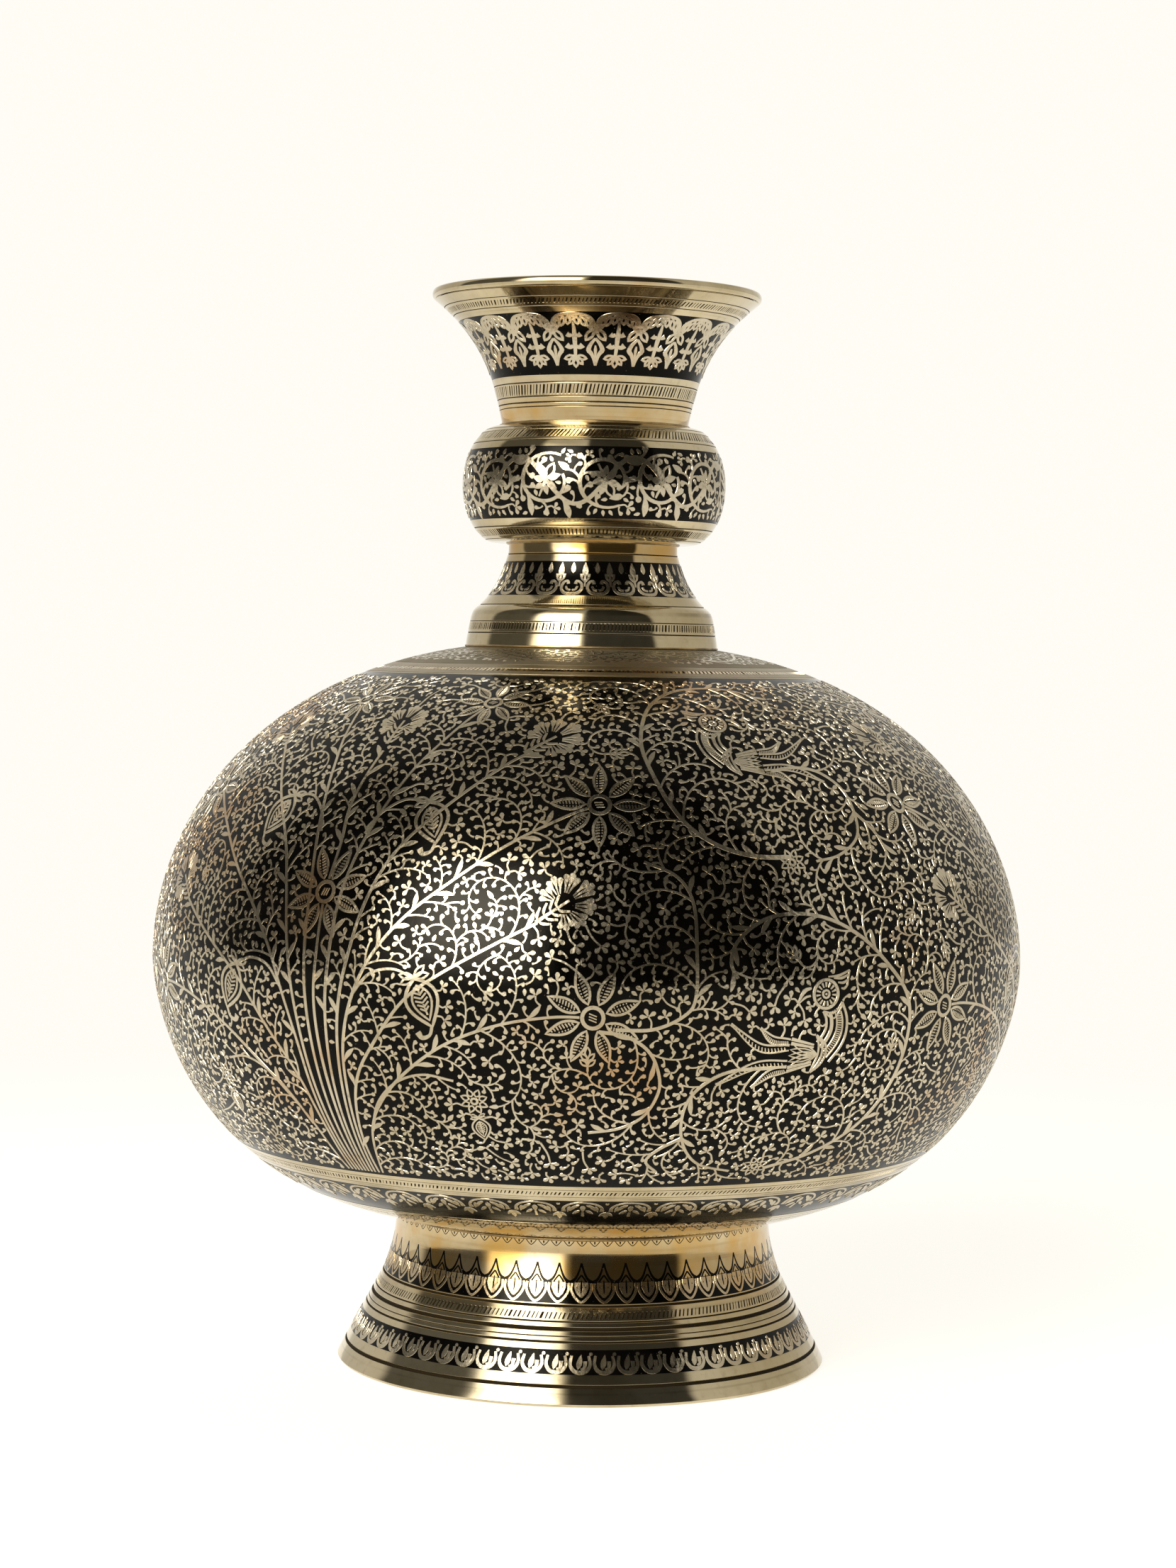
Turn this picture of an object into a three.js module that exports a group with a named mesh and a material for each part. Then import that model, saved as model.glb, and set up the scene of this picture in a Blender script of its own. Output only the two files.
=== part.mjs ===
// Engraved brass kalash vase: a turned foot, a globe body in two halves, a bell-shaped neck collar,
// a two-cup knop and a flared mouth, soldered together on lathe-turned registers.
// Black lacquer fills the engraved bands, each in its own shallow recess.
// Millimetres, +Z up, origin at the centre of the foot's rest face.

import * as THREE from 'three';

// ---- driving dimensions ----------------------------------------------------------------------

const FACETS = 32; // facets round every turned piece
const CLEARANCE = 0.3; // gap at every touching face, filled by solder or lacquer on the real vase
const WALL = 2.4; // thickness of the turned shells
const LAP_LENGTH = 3.2; // length of the stepped lap joint in a shell
const LAP_THICKNESS = 0.75; // thickness of the inner lip of a lap joint
const RECESS_DEPTH = 0.65; // depth of an engraved band
const LACQUER_SINK = 0.05; // how far the lacquer lies below the brass
const LACQUER_THICKNESS = 0.3;
const SOLDER_LEG = 1.2; // leg of a solder fillet

const FOOT = {
  height: 42.6, // top face, just under the bowl
  baseRadius: 69.8,
  waistZ: 25.1, // where the cone ends and the hollow-curved stem begins
  waistRadius: 57,
  stemRadius: 53.5,
  edgeRound: 1.1,
  restWidth: 2.2, // width of the flat ring that the vase stands on
};

const BODY = {
  radius: 123.6, // at the belly
  bellyZ: 116,
  domeHeight: 89.9, // belly to the pole of the upper curve
  domeShape: { rise: 1.938, spread: 0.4033 },
  bowlDepth: 75.3, // belly to the bottom of the lower curve
  bowlShape: { rise: 1.739, spread: 0.2882 },
  footRegisterRadius: 50.6, // ring under the bowl that centres the foot
  footRegisterDepth: 4,
  spigotRadius: 33, // upstanding lip that centres the collar
  spigotTopZ: 209,
};

const COLLAR = {
  footZ: 204.2,
  footRadius: 36,
  bellZ: 215.5, // top of the torus moulding, foot of the bell
  bellRadius: 32.4,
  throatZ: 231,
  throatRadius: 24.1,
  spigotTopZ: 237.5,
  wall: 2,
};

const KNOP = {
  waistZ: 250,
  halfHeight: 16.45,
  radius: 37.47,
  shoulderRadius: 28.2, // where the round side meets the flat end
  roundness: 1.93,
  lowerHoleRadius: 24.4,
  upperHoleRadius: 27,
};

const MOUTH = {
  spigotZ: 262, // lower end, inside the knop
  throatZ: 268,
  throatRadius: 26.7,
  flareHeight: 34.1,
  flareLinear: 7.4, // the flare's radius grows by a linear and a cubic share of its height
  flareCubic: 11.9,
  wall: 2,
  rimTopZ: 305,
  rimRadius: 46.9,
};

// Engraved bands that hold lacquer, by the height of their edges
const BANDS = {
  footPetals: [8.2, 14.3],
  footLeaves: [25.7, 31.4],
  lotus: [51.8, 60.1],
  bodyField: [64.6, 196.2],
  collarPetals: [218.4, 228],
  knopVine: [239.6, 259.4],
  mouthArcade: [279.5, 295.9],
};

// ---- materials -------------------------------------------------------------------------------

function makeMaterial(color, roughness, metalness) {
  return new THREE.MeshStandardMaterial({ color, roughness, metalness });
}

const makeBrass = () => makeMaterial(0xc2ab74, 0.28, 1);
const makeSolder = () => makeMaterial(0xd0ad62, 0.4, 1);
const makeLacquer = () => makeMaterial(0x0d0b09, 0.2, 0);

// ---- outer curves of the turned pieces: radius at a height -------------------------------------

function footRadius(z) {
  if (z > FOOT.waistZ) {
    const rise = (FOOT.height - z) / (FOOT.height - FOOT.waistZ);
    return FOOT.stemRadius + (FOOT.waistRadius - FOOT.stemRadius) * rise ** 2;
  }
  return THREE.MathUtils.mapLinear(z, 0, FOOT.waistZ, FOOT.baseRadius + 0.5, FOOT.waistRadius);
}

function bodyRadius(z) {
  const above = z > BODY.bellyZ;
  const reach = above ? BODY.domeHeight : BODY.bowlDepth;
  const shape = above ? BODY.domeShape : BODY.bowlShape;
  const share = Math.min(Math.abs(z - BODY.bellyZ) / reach, 1);
  return BODY.radius * (1 - share ** shape.rise) ** shape.spread;
}

function collarRadius(z) {
  const drop = (COLLAR.throatZ - Math.min(z, COLLAR.throatZ)) / (COLLAR.throatZ - COLLAR.bellZ);
  return COLLAR.throatRadius + 4.4 * drop + 3.9 * drop ** 3;
}

function knopRadius(z) {
  const share = Math.min(Math.abs(z - KNOP.waistZ) / KNOP.halfHeight, 1);
  const bulge = (1 - share ** KNOP.roundness) ** (1 / KNOP.roundness);
  return KNOP.shoulderRadius + (KNOP.radius - KNOP.shoulderRadius) * bulge;
}

function mouthRadius(z) {
  const rise = Math.max(z - MOUTH.throatZ, 0) / MOUTH.flareHeight;
  return MOUTH.throatRadius + MOUTH.flareLinear * rise + MOUTH.flareCubic * rise ** 3;
}

// ---- outlines ----------------------------------------------------------------------------------

// A point at a depth below an outer curve, measured square to the surface.
function pointBelow(radiusAt, z, depth) {
  const step = 0.01;
  const slope = (radiusAt(z + step) - radiusAt(z - step)) / (2 * step);
  const length = Math.hypot(1, slope);
  return new THREE.Vector2(radiusAt(z) - depth / length, z + (depth * slope) / length);
}

// Points along an outer curve between two heights, at a depth below it.
// bunch above 1 crowds the points towards the second height, where the curve turns tightest.
function stretch(radiusAt, fromZ, toZ, count, depth = 0, bunch = 1) {
  const points = [];
  for (let i = 0; i <= count; i += 1) {
    const share = 1 - (1 - i / count) ** bunch;
    points.push(pointBelow(radiusAt, THREE.MathUtils.lerp(fromZ, toZ, share), depth));
  }
  return points;
}

const point = (radius, z) => new THREE.Vector2(radius, z);

// Turn an outline (radius, height) about the vase's axis. An outline that leaves the axis is closed.
function turned(name, outline, material) {
  const loop = outline.map((p) => p.clone());
  const onAxis = loop[0].x === 0 && loop.at(-1).x === 0;
  if (!onAxis) loop.push(loop[0].clone());
  if (THREE.ShapeUtils.area(loop) < 0) loop.reverse();
  const geometry = new THREE.LatheGeometry(loop, FACETS);
  geometry.rotateX(Math.PI / 2);
  const mesh = new THREE.Mesh(geometry, material);
  mesh.name = name;
  return mesh;
}

// ---- turned shells -----------------------------------------------------------------------------

function makeFootPedestal() {
  const innerWall = stretch(footRadius, FOOT.height, 5, 4, WALL);
  return turned('foot_pedestal', [
    point(FOOT.baseRadius - FOOT.edgeRound - FOOT.restWidth, 0),
    point(FOOT.baseRadius - FOOT.edgeRound, 0),
    point(FOOT.baseRadius, FOOT.edgeRound),
    ...stretch(footRadius, 3, BANDS.footPetals[0], 1),
    ...stretch(footRadius, ...BANDS.footPetals, 1, RECESS_DEPTH),
    ...stretch(footRadius, BANDS.footPetals[1], BANDS.footLeaves[0], 1),
    ...stretch(footRadius, ...BANDS.footLeaves, 1, RECESS_DEPTH),
    ...stretch(footRadius, BANDS.footLeaves[1], FOOT.height, 2),
    ...innerWall,
  ], makeBrass());
}

function makeBodyLowerBowl() {
  const lipZ = BODY.bellyZ + LAP_LENGTH;
  const bottomZ = BODY.bellyZ - BODY.bowlDepth;
  const registerInner = BODY.footRegisterRadius - WALL;
  const registerZ = bottomZ + 1.8;
  return turned('body_lower_bowl', [
    point(0, bottomZ),
    point(registerInner * 0.7, bottomZ + 0.4),
    point(registerInner, registerZ),
    point(registerInner, bottomZ - BODY.footRegisterDepth),
    point(BODY.footRegisterRadius, bottomZ - BODY.footRegisterDepth),
    point(BODY.footRegisterRadius, registerZ + 0.35),
    ...stretch(bodyRadius, 43.4, BANDS.lotus[0], 2),
    ...stretch(bodyRadius, ...BANDS.lotus, 2, RECESS_DEPTH),
    ...stretch(bodyRadius, BANDS.lotus[1], BANDS.bodyField[0], 1),
    ...stretch(bodyRadius, BANDS.bodyField[0], BODY.bellyZ, 5, RECESS_DEPTH),
    ...stretch(bodyRadius, BODY.bellyZ, lipZ, 1, WALL - LAP_THICKNESS),
    ...stretch(bodyRadius, lipZ, 46.5, 7, WALL, 1.6),
    point(registerInner, bottomZ + WALL + 1.9),
    point(0, bottomZ + WALL),
  ], makeBrass());
}

function makeBodyUpperDome() {
  const startZ = BODY.bellyZ + CLEARANCE;
  const lapTopZ = BODY.bellyZ + LAP_LENGTH + CLEARANCE;
  const spigotInner = BODY.spigotRadius - WALL + CLEARANCE;
  return turned('body_upper_dome', [
    ...stretch(bodyRadius, startZ, BANDS.bodyField[1], 7, RECESS_DEPTH, 1.6),
    ...stretch(bodyRadius, BANDS.bodyField[1], 203.6, 2),
    point(BODY.spigotRadius, 204),
    point(BODY.spigotRadius, BODY.spigotTopZ),
    point(spigotInner, BODY.spigotTopZ),
    point(spigotInner, 201.9),
    ...stretch(bodyRadius, 202, lapTopZ, 7, WALL, 0.62),
    ...stretch(bodyRadius, lapTopZ, startZ, 1, WALL - LAP_THICKNESS - CLEARANCE),
  ], makeBrass());
}

function makeNeckCollar() {
  const torus = [point(33.7, 214.3), point(34.5, 212.6), point(34.8, 210.9)];
  const innerThroat = COLLAR.throatRadius - COLLAR.wall;
  return turned('neck_collar', [
    point(BODY.spigotRadius + CLEARANCE, COLLAR.footZ + 0.25),
    point(COLLAR.footRadius, COLLAR.footZ),
    ...torus.reverse(),
    ...stretch(collarRadius, COLLAR.bellZ, BANDS.collarPetals[0], 1),
    ...stretch(collarRadius, ...BANDS.collarPetals, 2, RECESS_DEPTH),
    ...stretch(collarRadius, BANDS.collarPetals[1], COLLAR.throatZ, 1),
    point(COLLAR.throatRadius, COLLAR.spigotTopZ),
    point(innerThroat, COLLAR.spigotTopZ),
    ...stretch(collarRadius, COLLAR.throatZ, COLLAR.bellZ, 3, COLLAR.wall),
    point(BODY.spigotRadius + CLEARANCE, 211.2),
  ], makeBrass());
}

function makeKnopLowerCup() {
  const bottomZ = KNOP.waistZ - KNOP.halfHeight;
  const lipZ = KNOP.waistZ + LAP_LENGTH;
  return turned('knop_lower_cup', [
    point(KNOP.lowerHoleRadius, bottomZ),
    ...stretch(knopRadius, bottomZ + 0.05, BANDS.knopVine[0], 3),
    ...stretch(knopRadius, BANDS.knopVine[0], KNOP.waistZ, 2, RECESS_DEPTH),
    ...stretch(knopRadius, KNOP.waistZ, lipZ, 1, WALL - LAP_THICKNESS),
    ...stretch(knopRadius, lipZ, bottomZ + 2.6, 4, WALL),
    point(KNOP.lowerHoleRadius, bottomZ + WALL),
  ], makeBrass());
}

function makeKnopUpperCup() {
  const topZ = KNOP.waistZ + KNOP.halfHeight;
  const startZ = KNOP.waistZ + CLEARANCE;
  const lapTopZ = KNOP.waistZ + LAP_LENGTH + CLEARANCE;
  return turned('knop_upper_cup', [
    ...stretch(knopRadius, startZ, BANDS.knopVine[1], 2, RECESS_DEPTH),
    ...stretch(knopRadius, BANDS.knopVine[1], topZ - 0.05, 3),
    point(KNOP.upperHoleRadius, topZ),
    point(KNOP.upperHoleRadius, topZ - WALL),
    ...stretch(knopRadius, topZ - 3.4, lapTopZ, 4, WALL),
    ...stretch(knopRadius, lapTopZ, startZ, 1, WALL - LAP_THICKNESS - CLEARANCE),
  ], makeBrass());
}

function makeMouthFunnel() {
  const wallTopZ = MOUTH.throatZ + MOUTH.flareHeight;
  const innerThroat = MOUTH.throatRadius - MOUTH.wall;
  const lipInner = mouthRadius(wallTopZ) - MOUTH.wall;
  const lipTopZ = MOUTH.rimTopZ - 0.5;
  return turned('mouth_funnel', [
    point(MOUTH.throatRadius, MOUTH.spigotZ),
    ...stretch(mouthRadius, MOUTH.throatZ, BANDS.mouthArcade[0], 2),
    ...stretch(mouthRadius, ...BANDS.mouthArcade, 3, RECESS_DEPTH),
    ...stretch(mouthRadius, BANDS.mouthArcade[1], wallTopZ, 2),
    point(lipInner + 0.8, wallTopZ + 0.3),
    point(lipInner + 0.8, lipTopZ),
    point(lipInner, lipTopZ),
    ...stretch(mouthRadius, wallTopZ - 1, MOUTH.throatZ, 5, MOUTH.wall),
    point(innerThroat, MOUTH.spigotZ),
  ], makeBrass());
}

// Half-round ring that stiffens the lip.
function makeMouthRimRing() {
  const lowZ = MOUTH.throatZ + MOUTH.flareHeight + CLEARANCE;
  const innerRadius = mouthRadius(MOUTH.throatZ + MOUTH.flareHeight) - MOUTH.wall + 0.8 + CLEARANCE;
  const middleZ = (lowZ + MOUTH.rimTopZ) / 2;
  return turned('mouth_rim_ring', [
    point(innerRadius, lowZ + 0.3),
    point(MOUTH.rimRadius - 0.7, lowZ),
    point(MOUTH.rimRadius, middleZ),
    point(MOUTH.rimRadius - 0.7, MOUTH.rimTopZ),
    point(innerRadius, MOUTH.rimTopZ),
  ], makeBrass());
}

// ---- lacquer inlays ----------------------------------------------------------------------------

function makeLacquerBand(name, radiusAt, [lowZ, highZ], count, bunch) {
  const bottomZ = lowZ + CLEARANCE;
  const topZ = highZ - CLEARANCE;
  const innerDepth = LACQUER_SINK + LACQUER_THICKNESS;
  return turned(name, [
    ...stretch(radiusAt, bottomZ, topZ, count, LACQUER_SINK, bunch),
    ...stretch(radiusAt, bottomZ, topZ, count, innerDepth, bunch).reverse(),
  ], makeLacquer());
}

// The body's field runs across both halves, in one skin from the lower lines to the shoulder lines.
function makeBodyFieldLacquer() {
  const bottomZ = BANDS.bodyField[0] + CLEARANCE;
  const topZ = BANDS.bodyField[1] - CLEARANCE;
  const skin = (depth) => [
    ...stretch(bodyRadius, bottomZ, BODY.bellyZ, 5, depth),
    ...stretch(bodyRadius, BODY.bellyZ, topZ, 7, depth, 1.6).slice(1),
  ];
  return turned('body_field_lacquer', [
    ...skin(LACQUER_SINK),
    ...skin(LACQUER_SINK + LACQUER_THICKNESS).reverse(),
  ], makeLacquer());
}

// ---- solder runs -------------------------------------------------------------------------------

// Three-cornered fillet. side is 1 outside a wall and -1 inside; rise is 1 on a floor and -1 under a roof.
function makeSolderFillet(name, radius, z, side, rise) {
  return turned(name, [
    point(radius, z),
    point(radius + side * SOLDER_LEG, z),
    point(radius, z + rise * SOLDER_LEG),
  ], makeSolder());
}

// Bead run along a seam on the inside of a shell.
function makeSolderBead(name, radius, z) {
  return turned(name, [
    point(radius, z - SOLDER_LEG),
    point(radius, z + SOLDER_LEG),
    point(radius - SOLDER_LEG, z),
  ], makeSolder());
}

function makeSolderRuns() {
  const lapZ = LAP_LENGTH + CLEARANCE / 2;
  const gap = CLEARANCE + 0.05;
  return [
    makeSolderFillet('foot_joint_solder', FOOT.stemRadius + gap, FOOT.height - 0.1, 1, -1),
    makeSolderBead('belly_joint_solder', BODY.radius - WALL - 2 * gap, BODY.bellyZ + lapZ),
    makeSolderFillet('collar_joint_solder', COLLAR.footRadius + gap, COLLAR.footZ, 1, 1),
    makeSolderFillet('knop_base_solder', COLLAR.throatRadius + gap, KNOP.waistZ - KNOP.halfHeight - gap, 1, -1),
    makeSolderBead('knop_waist_solder', KNOP.radius - WALL - 2 * gap, KNOP.waistZ + lapZ),
    makeSolderFillet('knop_top_solder', MOUTH.throatRadius + 0.25 + gap, KNOP.waistZ + KNOP.halfHeight + gap, 1, 1),
  ];
}

// ---- assembly ----------------------------------------------------------------------------------

const vase = new THREE.Group();
vase.add(
  makeFootPedestal(),
  makeBodyLowerBowl(),
  makeBodyUpperDome(),
  makeNeckCollar(),
  makeKnopLowerCup(),
  makeKnopUpperCup(),
  makeMouthFunnel(),
  makeMouthRimRing(),
  makeLacquerBand('foot_petal_lacquer', footRadius, BANDS.footPetals, 1),
  makeLacquerBand('foot_leaf_lacquer', footRadius, BANDS.footLeaves, 1),
  makeLacquerBand('lotus_band_lacquer', bodyRadius, BANDS.lotus, 2),
  makeBodyFieldLacquer(),
  makeLacquerBand('collar_petal_lacquer', collarRadius, BANDS.collarPetals, 2),
  makeLacquerBand('knop_vine_lacquer', knopRadius, BANDS.knopVine, 4),
  makeLacquerBand('mouth_arcade_lacquer', mouthRadius, BANDS.mouthArcade, 3),
  ...makeSolderRuns(),
);

export default vase;
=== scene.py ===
"""The looks of a footed brass kalash: turned shells, black lacquer inlay and hand-engraved scrollwork.

Lengths are in millimetres until a mesh is written, angles in degrees.
Azimuth 0 faces the camera and grows to its right.
"""

import math
import random

import bmesh
import bpy
import numpy as np
from mathutils import Euler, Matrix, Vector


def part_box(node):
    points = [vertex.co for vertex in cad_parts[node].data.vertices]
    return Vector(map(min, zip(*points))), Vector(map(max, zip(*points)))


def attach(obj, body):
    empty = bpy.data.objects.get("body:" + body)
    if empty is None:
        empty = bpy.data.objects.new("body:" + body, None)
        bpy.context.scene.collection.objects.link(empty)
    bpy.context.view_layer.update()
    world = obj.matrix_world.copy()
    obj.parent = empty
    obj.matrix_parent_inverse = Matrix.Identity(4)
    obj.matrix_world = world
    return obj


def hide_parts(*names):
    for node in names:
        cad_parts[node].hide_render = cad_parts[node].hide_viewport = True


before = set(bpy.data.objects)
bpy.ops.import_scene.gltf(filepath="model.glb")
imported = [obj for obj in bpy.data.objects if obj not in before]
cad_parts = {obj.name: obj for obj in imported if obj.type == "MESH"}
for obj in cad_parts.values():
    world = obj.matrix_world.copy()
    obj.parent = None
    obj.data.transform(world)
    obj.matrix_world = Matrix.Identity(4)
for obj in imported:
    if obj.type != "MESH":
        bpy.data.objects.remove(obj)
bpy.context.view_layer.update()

MM = 0.001
RNG = random.Random(7)


def box_mm(node):
    low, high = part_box(node)
    return low / MM, high / MM


# ---- driving values --------------------------------------------------------------------------

HEIGHT = box_mm("mouth_rim_ring")[1].z
FOOT_TOP = box_mm("foot_pedestal")[1].z
FOOT_RADIUS = box_mm("foot_pedestal")[1].x
RIM_RADIUS = box_mm("mouth_rim_ring")[1].x
FOOT_WAIST_Z = 25.1  # where the cone ends and the hollow-curved stem begins
BOWL_Z = 43.4  # lowest point of the body's curve
BELLY_Z = 116.0
BELLY_RADIUS = 123.6
SHOULDER_Z = 203.7  # highest point of the body's curve
BELL_Z = 215.5  # top of the collar's moulding, foot of its bell
THROAT_Z = 231.0  # top of the bell
THROAT_RADIUS = 24.1
KNOP_WAIST_Z = 250.0
KNOP_HALF_HEIGHT = 16.45
MOUTH_THROAT_Z = 268.0
MOUTH_THROAT_RADIUS = 26.7
MOUTH_EDGE_Z = 302.1  # where the rim ring begins
WALL_THICKNESS = 2.4
NECK_THICKNESS = 2.0
RECESS_DEPTH = 0.65
LACQUER_SINK = 0.05
LACQUER_THICKNESS = 0.3
SEGMENTS = 448  # round every turned piece
CREASE = 38  # edges sharper than this many degrees are shaded hard
RELIEF = 0.08  # how far engraved brass stands above the turned surface
BEVEL = 0.11  # width of the sloping side of an engraved line
SHOULDER_PATINA_AND_SHADE = 0.68  # how dark the ground of the worn shoulder scroll is painted: partly patina, partly painted shade for the dark reflection there
LINE_FOOT_SHADE = 0.75  # how dark the foot of an engraved line is painted: painted shade in the crease by the lacquer, which also dims the glint on its bevel

# Recessed bands that hold lacquer, by the heights of their edges
BANDS = {
    "foot_petals": (8.2, 14.3),
    "foot_leaves": (25.7, 31.4),
    "lotus": (51.8, 60.1),
    "field": (64.6, 196.2),
    "collar_petals": (218.4, 228.0),
    "knop_vine": (239.6, 259.4),
    "mouth_arcade": (279.5, 295.9),
}

# Amber tints left by soldering: the height of each and how far it spreads
HEAT_TINTS = {"foot": (37, 11), "collar": (232, 4.2), "mouth": (268.5, 4.5)}

# Turned lines: height, width, depth and the flat share of the groove's floor
FOOT_CUTS = [(25.1, 0.9, 0.35, 0.2), (21.2, 0.6, 0.28, 0), (19.4, 1.3, 0.4, 0.3), (17.6, 0.45, 0.18, 0),
             (16.2, 0.8, 0.3, 0.2), (5.3, 1.1, 0.35, 0.5)]
BOWL_CUTS = [(63.4, 0.35, 0.15, 0), (61.2, 0.35, 0.15, 0), (50.9, 0.4, 0.15, 0), (48.8, 0.5, 0.2, 0)]
DOME_CUTS = [(196.5, 0.25, 0.15, 0), (199.1, 0.5, 0.2, 0)]
COLLAR_CUTS = [(230.2, 0.5, 0.2, 0), (215.8, 0.5, 0.2, 0), (211.0, 0.35, 0.15, 0), (207.75, 0.5, 0.2, 0)]
KNOP_LOW_CUTS = [(237.45, 0.45, 0.18, 0), (234.25, 0.45, 0.18, 0)]
KNOP_TOP_CUTS = [(261.4, 0.45, 0.18, 0), (265.35, 0.5, 0.2, 0)]
MOUTH_CUTS = [(299.95, 0.4, 0.16, 0), (297.5, 0.4, 0.16, 0), (277.55, 0.45, 0.18, 0), (273.8, 0.45, 0.18, 0),
              (272.15, 0.5, 0.2, 0), (271.0, 0.35, 0.15, 0)]


# ---- the outer curves ------------------------------------------------------------------------


def foot_radius(z):
    stem = 53.5 + 3.5 * (np.clip(FOOT_TOP - z, 0, None) / (FOOT_TOP - FOOT_WAIST_Z)) ** 2
    cone = np.interp(z, [0, FOOT_WAIST_Z], [FOOT_RADIUS + 0.5, 57.0])
    return np.where(z > FOOT_WAIST_Z, stem, cone)


def body_radius(z):
    above = z > BELLY_Z
    reach = np.where(above, 89.9, 75.3)
    rise = np.where(above, 1.938, 1.739)
    spread = np.where(above, 0.4033, 0.2882)
    share = np.clip(np.abs(z - BELLY_Z) / reach, 0, 0.9999)
    return BELLY_RADIUS * (1 - share ** rise) ** spread


def bell_radius(z):
    drop = (THROAT_Z - np.minimum(z, THROAT_Z)) / (THROAT_Z - BELL_Z)
    return THROAT_RADIUS + 4.4 * drop + 3.9 * drop ** 3


def knop_radius(z):
    share = np.clip(np.abs(z - KNOP_WAIST_Z) / KNOP_HALF_HEIGHT, 0, 1)
    return 28.2 + 9.27 * (1 - share ** 1.93) ** (1 / 1.93)


def mouth_radius(z):
    rise = np.clip(z - MOUTH_THROAT_Z, 0, None) / 34.1
    return MOUTH_THROAT_RADIUS + 7.4 * rise + 11.9 * rise ** 3


def smooth_through(points, per_span=12):
    """A Catmull-Rom line through the points."""
    p = np.asarray(points, float)
    p = np.vstack([2 * p[0] - p[1], p, 2 * p[-1] - p[-2]])
    t = np.linspace(0, 1, per_span, endpoint=False)[:, None]
    spans = []
    for a, b, c, d in zip(p[:-3], p[1:-2], p[2:-1], p[3:]):
        spans.append(b + 0.5 * t * (c - a + t * (2 * a - 5 * b + 4 * c - d + t * (3 * (b - c) + d - a))))
    return np.vstack(spans + [p[-2:-1]])


class Wall:
    """The outer curve of a turned piece, measured along itself from its foot upwards."""

    def __init__(self, outline):
        self.radius, self.height = np.asarray(outline, float).T
        steps = np.hypot(np.diff(self.radius), np.diff(self.height))
        self.along = np.concatenate([[0.0], np.cumsum(steps)])
        slope = np.gradient(np.stack([self.radius, self.height]), self.along, axis=1)
        slope /= np.hypot(*slope)
        self.out_radius, self.out_height = slope[1], -slope[0]

    @classmethod
    def of(cls, radius_at, low, high):
        # points crowd towards both ends, where a round side turns fastest
        share = 0.5 - 0.5 * np.cos(np.linspace(0, math.pi, 900))
        z = low + (high - low) * share
        return cls(np.stack([radius_at(z), z], 1))

    def reach(self, z):
        return np.interp(z, self.height, self.along)

    def section(self, along, lift=0.0):
        """(radius, height) at a distance along the wall, lifted square off it."""
        r = np.interp(along, self.along, self.radius) + lift * np.interp(along, self.along, self.out_radius)
        z = np.interp(along, self.along, self.height) + lift * np.interp(along, self.along, self.out_height)
        return np.stack([r, z], -1)

    def radius_at(self, along):
        return np.interp(along, self.along, self.radius)

    def points(self, azimuth, along, lift):
        """Positions in metres."""
        r, z = np.moveaxis(self.section(along, lift), -1, 0)
        turn = np.radians(azimuth)
        return np.stack([r * np.sin(turn), -r * np.cos(turn), z], -1) * MM


FOOT = Wall.of(foot_radius, 1.1, FOOT_TOP)
BODY = Wall.of(body_radius, BOWL_Z, SHOULDER_Z)
COLLAR = Wall(np.vstack([
    smooth_through([(36.0, 204.2), (35.8, 206.0), (35.3, 208.6), (34.9, 210.9), (34.6, 212.4), (33.9, 214.2),
                    (32.5, BELL_Z)], 24)[:-1],
    [(bell_radius(z), z) for z in np.linspace(BELL_Z + 0.1, THROAT_Z, 200)],
    [(THROAT_RADIUS, 237.5)]]))
KNOP = Wall.of(knop_radius, 233.6, 266.4)
MOUTH = Wall.of(mouth_radius, MOUTH_THROAT_Z, MOUTH_EDGE_Z)


# ---- mesh makers -----------------------------------------------------------------------------


def mesh_object(name, vertices, corners, starts, values, smooth):
    """A mesh from flat arrays; values are per-vertex numbers that its material reads."""
    mesh = bpy.data.meshes.new(name)
    mesh.vertices.add(len(vertices))
    mesh.vertices.foreach_set("co", np.ascontiguousarray(vertices, np.float32).ravel())
    mesh.loops.add(len(corners))
    mesh.loops.foreach_set("vertex_index", np.ascontiguousarray(corners, np.int32))
    mesh.polygons.add(len(starts))
    mesh.polygons.foreach_set("loop_start", np.ascontiguousarray(starts, np.int32))
    mesh.update(calc_edges=True)
    for key, numbers in values.items():
        attribute = mesh.attributes.new(key, "FLOAT", "POINT")
        attribute.data.foreach_set("value", np.ascontiguousarray(numbers, np.float32))
    mesh.polygons.foreach_set("use_smooth", np.full(len(starts), smooth))
    if smooth:
        mesh.set_sharp_from_angle(angle=math.radians(CREASE))
    thing = bpy.data.objects.new(name, mesh)
    bpy.context.scene.collection.objects.link(thing)
    return thing


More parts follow.
